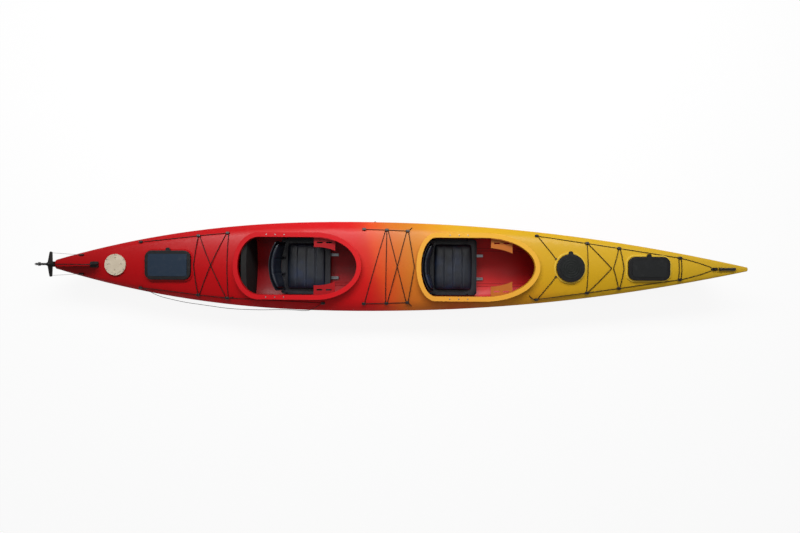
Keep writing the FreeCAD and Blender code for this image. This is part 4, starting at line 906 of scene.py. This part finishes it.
# The rudder's lift line, thin and braided: its tight leg runs along the starboard edge from fitting to
# fitting, and its slack leg hangs over the side, in a long bow beside the hull.
tight = edge_run([stern_fitting, fitting_a, fitting_b, lift_guide], -1, lift_line_thickness)
piece = cords("lift_line_tight_braided", tight, lift_line_thickness, 8)
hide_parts("lift_line_tight")
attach(piece, "hull")

slack_route = [
    (-1.979, -0.178, 0.291), (-1.925, -0.204, 0.281), (-1.880, -0.232, 0.268), (-1.835, -0.252, 0.249),
    (-1.789, -0.267, 0.228), (-1.740, -0.281, 0.209), (-1.690, -0.294, 0.193), (-1.640, -0.304, 0.180),
    (-1.586, -0.312, 0.170), (-1.531, -0.321, 0.162), (-1.476, -0.329, 0.155), (-1.420, -0.338, 0.150),
    (-1.364, -0.345, 0.146), (-1.307, -0.350, 0.143), (-1.250, -0.353, 0.142), (-1.192, -0.354, 0.143),
    (-1.134, -0.355, 0.147), (-1.077, -0.355, 0.152), (-1.020, -0.353, 0.160), (-0.965, -0.351, 0.170),
    (-0.912, -0.349, 0.182), (-0.861, -0.348, 0.196), (-0.812, -0.348, 0.212), (-0.764, -0.350, 0.228),
    (-0.718, -0.351, 0.243), (-0.678, -0.345, 0.256), (-0.645, -0.330, 0.267), (-0.615, -0.311, 0.279),
    (-0.580, -0.290, 0.288)]
data = bpy.data.curves.new("lift_line_slack_braided", "CURVE")
data.dimensions = "3D"
data.resolution_u = 8
data.bevel_depth = lift_line_thickness / 2
data.bevel_resolution = 3
data.use_fill_caps = True
add_route(data, slack_route)
line_finish = Finish("braided_line", Roughness=0.7, Specular_IOR_Level=0.3)
x, y, z = line_finish.axes(line_finish.point())
strand = (x * 2100.0).math("SINE") * (z * 1600.0).math("SINE")
fleck = strand.ramp(0.3, 0.9) * 0.5
line_finish.feed("Base Color", line_finish.mix(fleck, colour(10, 8, 8), colour(38, 30, 27)))
line_finish.bump(strand, 0.0005, 0.5)
data.materials.append(line_finish.material)
slack_line = bpy.data.objects.new("lift_line_slack_braided", data)
scene.collection.objects.link(slack_line)
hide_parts("lift_line_slack")
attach(slack_line, "hull")

# The bow toggle's loop: the same line, led through the grip and tied into the eye on the bow. It
# swings with the grip.
low_corner, high_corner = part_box("toggle_cord")
middle_z = (low_corner.z + high_corner.z) / 2
loop_side = (high_corner.y - low_corner.y) / 2 - line_thickness / 2
loop_fit = 0.95
loop = []
for x, y in ((high_corner.x + 0.002, 1.0), (low_corner.x + 0.012, 1.0), (low_corner.x + 0.0035, 0.8),
             (low_corner.x + 0.0025, 0.0), (low_corner.x + 0.0035, -0.8), (low_corner.x + 0.012, -1.0),
             (high_corner.x + 0.002, -1.0)):
    loop.append((x, y * loop_side * loop_fit, middle_z))
piece = cords("toggle_loop", [loop], line_thickness * 0.9, 8)
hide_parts("toggle_cord")
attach(piece, "toggle")

# Steering cables: bare stainless strand from the glands in the hull to the ends of the yoke's arms.
cable_low, cable_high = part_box("steering_cables")
cable_thickness = 0.0024
gland_side = 0.0742
for side, word in ((1, "port"), (-1, "starboard")):
    aft = Vector((cable_low.x, side * (cable_high.y - cable_thickness / 2), cable_low.z + cable_thickness / 2))
    fore = Vector((cable_high.x, side * gland_side, cable_high.z - cable_thickness / 2))
    route = [fore.lerp(aft, i / 8) for i in range(9)]
    piece = cords("steering_cable_" + word, [route], cable_thickness, 8, steel_finish)
    if side == 1:
        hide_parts("steering_cables")
    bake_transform(piece)

# Small pan-head screws: a blackened one in each deck fitting, and stainless ones round the deck plate and
# through the hull's side into each end of the foot rails.
screw_head = 0.009
screw_height = 0.0024
screw_crown = 0.36
screw_sides = 20
screw_sink = 0.0002
plate_screw_circle = 0.150
plate_screws = 6
side_screw_inset = 0.035


def screw_tree():
    """Geometry nodes that put a pan head on each point, turned to the point's normal."""
    tree = bpy.data.node_groups.new("screw_heads", "GeometryNodeTree")
    tree.interface.new_socket(name="Places", in_out="INPUT", socket_type="NodeSocketGeometry")
    for name, value in (("Head", screw_head), ("Height", screw_height)):
        made = tree.interface.new_socket(name=name, in_out="INPUT", socket_type="NodeSocketFloat")
        made.default_value = value
    finish = tree.interface.new_socket(name="Finish", in_out="INPUT", socket_type="NodeSocketMaterial")
    finish.default_value = steel_finish.material
    tree.interface.new_socket(name="Screws", in_out="OUTPUT", socket_type="NodeSocketGeometry")

    add = tree.nodes.new
    link = tree.links.new
    entry = add("NodeGroupInput")
    leave = add("NodeGroupOutput")
    half = add("ShaderNodeMath")
    half.operation = "MULTIPLY"
    half.inputs[1].default_value = 0.5
    link(entry.outputs["Head"], half.inputs[0])
    crown = add("ShaderNodeMath")
    crown.operation = "MULTIPLY"
    crown.inputs[1].default_value = screw_crown
    link(entry.outputs["Head"], crown.inputs[0])
    head = add("GeometryNodeMeshCone")
    head.inputs["Vertices"].default_value = screw_sides
    link(crown.outputs[0], head.inputs["Radius Top"])
    link(half.outputs[0], head.inputs["Radius Bottom"])
    link(entry.outputs["Height"], head.inputs["Depth"])
    turned = add("GeometryNodeInputNamedAttribute")
    turned.data_type = "FLOAT_VECTOR"
    turned.inputs["Name"].default_value = "facing"
    aim = add("FunctionNodeAlignRotationToVector")
    aim.axis = "Z"
    link(turned.outputs[0], aim.inputs["Vector"])
    placed = add("GeometryNodeInstanceOnPoints")
    link(entry.outputs["Places"], placed.inputs["Points"])
    link(head.outputs["Mesh"], placed.inputs["Instance"])
    link(aim.outputs[0], placed.inputs["Rotation"])
    whole = add("GeometryNodeRealizeInstances")
    link(placed.outputs["Instances"], whole.inputs["Geometry"])
    dressed = add("GeometryNodeSetMaterial")
    link(whole.outputs["Geometry"], dressed.inputs["Geometry"])
    link(entry.outputs["Finish"], dressed.inputs["Material"])
    link(dressed.outputs["Geometry"], leave.inputs["Screws"])
    return tree


def screws(name, places, body, finish):
    """One piece of screw heads at places, each a point and the way it faces."""
    mesh = bpy.data.meshes.new(name)
    mesh.from_pydata([spot for spot, way in places], [], [])
    facing = mesh.attributes.new("facing", "FLOAT_VECTOR", "POINT")
    for item, (spot, way) in zip(facing.data, places):
        item.vector = way
    wanted = {"Head": screw_head, "Height": screw_height, "Finish": finish.material}
    piece = grown(name, mesh, screw_heads, wanted)
    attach(piece, body)


def surface_of(name):
    """Surface of a finished piece, for rays."""
    piece = bpy.data.objects[name]
    return BVHTree.FromObject(piece, bpy.context.evaluated_depsgraph_get())


def seat_screw(places, surface, start, way=(0, 0, -1)):
    """Add the place where a ray meets a surface, sunk a little so that the head sits tight."""
    spot, normal = hit(surface, start, way)
    if spot:
        places.append((spot - normal * screw_sink, normal))


screw_heads = screw_tree()
fitting_places = {"rear": [stern_fitting, fitting_a, fitting_b], "mid": [fitting_1, fitting_2, fitting_3],
                  "front": [fitting_d, fitting_e, fitting_f, fitting_g]}
places = []
for label, group in fitting_places.items():
    surface = surface_of("deck_fittings_" + label + "_finished")
    for along, across in group:
        for side in (1, -1):
            seat_screw(places, surface, (along, side * across, 1.0))
screws("fitting_screws", places, "hull", nylon_finish)
places = []
ring_low, ring_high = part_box("deck_plate_ring")
ring_x = (ring_low.x + ring_high.x) / 2
surface = surface_of("deck_plate_ring_finished")
for i in range(plate_screws):
    angle = 2 * math.pi * (i + 0.5) / plate_screws
    along = ring_x + plate_screw_circle / 2 * math.cos(angle)
    seat_screw(places, surface, (along, plate_screw_circle / 2 * math.sin(angle), 1.0))
for label in ("rear", "front"):
    rail_low, rail_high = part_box("foot_rails_" + label)
    for along in (rail_low.x + side_screw_inset, rail_high.x - side_screw_inset):
        for side in (1, -1):
            seat_screw(places, deck_tree, (along, side, (rail_low.z + rail_high.z) / 2), (0, -side, 0))
screws("deck_screws", places, "hull", steel_finish)

# Piping round each seat pad, of the pad's own fabric, and rows of stitches in pale thread beside its
# channels.
piping_thickness = 0.005
piping_stops = 64
piping_power = 9
piping_trim = 0.975
piping_height = 0.36
stitch_length = 0.006
stitch_gap = 0.003
stitch_thickness = 0.0011
stitch_offset = 0.010
stitch_span = 0.86
thread_pitch = 0.0012
thread_finish = Finish("sewing_thread", Roughness=0.7, Sheen_Weight=0.2)
y = thread_finish.axes(thread_finish.point())[1]
twist = (y * (2 * math.pi / thread_pitch)).math("SINE").ramp(-1.0, 1.0)
thread_finish.feed("Base Color", thread_finish.mix(twist, colour(52, 60, 74), colour(92, 102, 118)))
for label in ("rear", "front"):
    low_corner, high_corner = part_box("seat_pad_" + label)
    surface = surface_of("seat_cushion_" + label)
    length, width, height = high_corner - low_corner
    middle = (low_corner + high_corner) / 2
    edge = []
    for i in range(piping_stops):
        angle = 2 * math.pi * i / piping_stops
        corner = abs(math.cos(angle)) ** piping_power + abs(math.sin(angle)) ** piping_power
        reach = pad_trim / corner ** (1 / piping_power)
        u = reach * math.cos(angle)
        v = reach * math.sin(angle)
        pull = 1 - pad_waist * (1 - u * u) * abs(v) ** 3
        edge.append((middle.x + length / 2 * u * piping_trim, middle.y + width / 2 * v * pull * piping_trim,
                     low_corner.z + height * piping_height))
    piping = cords("seat_piping_" + label, [edge + edge[:2]], piping_thickness, 8, pad_finish)
    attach(piping, "seat_" + label)
    runs = []
    for k in range(pad_channels):
        line = middle.x + length / 2 * (-1 + 2 * (k + 1) / (pad_channels + 1)) * pad_trim
        for offset in (-stitch_offset, stitch_offset):
            reach = width / 2 * stitch_span
            across = -reach
            while across < reach:
                stitch = []
                for share, rise in ((0.0, -0.1), (0.5, 0.35), (1.0, -0.1)):
                    start = (line + offset, middle.y + across + stitch_length * share, 1.0)
                    spot, normal = hit(surface, start)
                    stitch.append(spot + normal * stitch_thickness * rise)
                runs.append(stitch)
                across += stitch_length + stitch_gap
    thread = cords("seat_stitches_" + label, runs, stitch_thickness, 5, thread_finish)
    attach(thread, "seat_" + label)
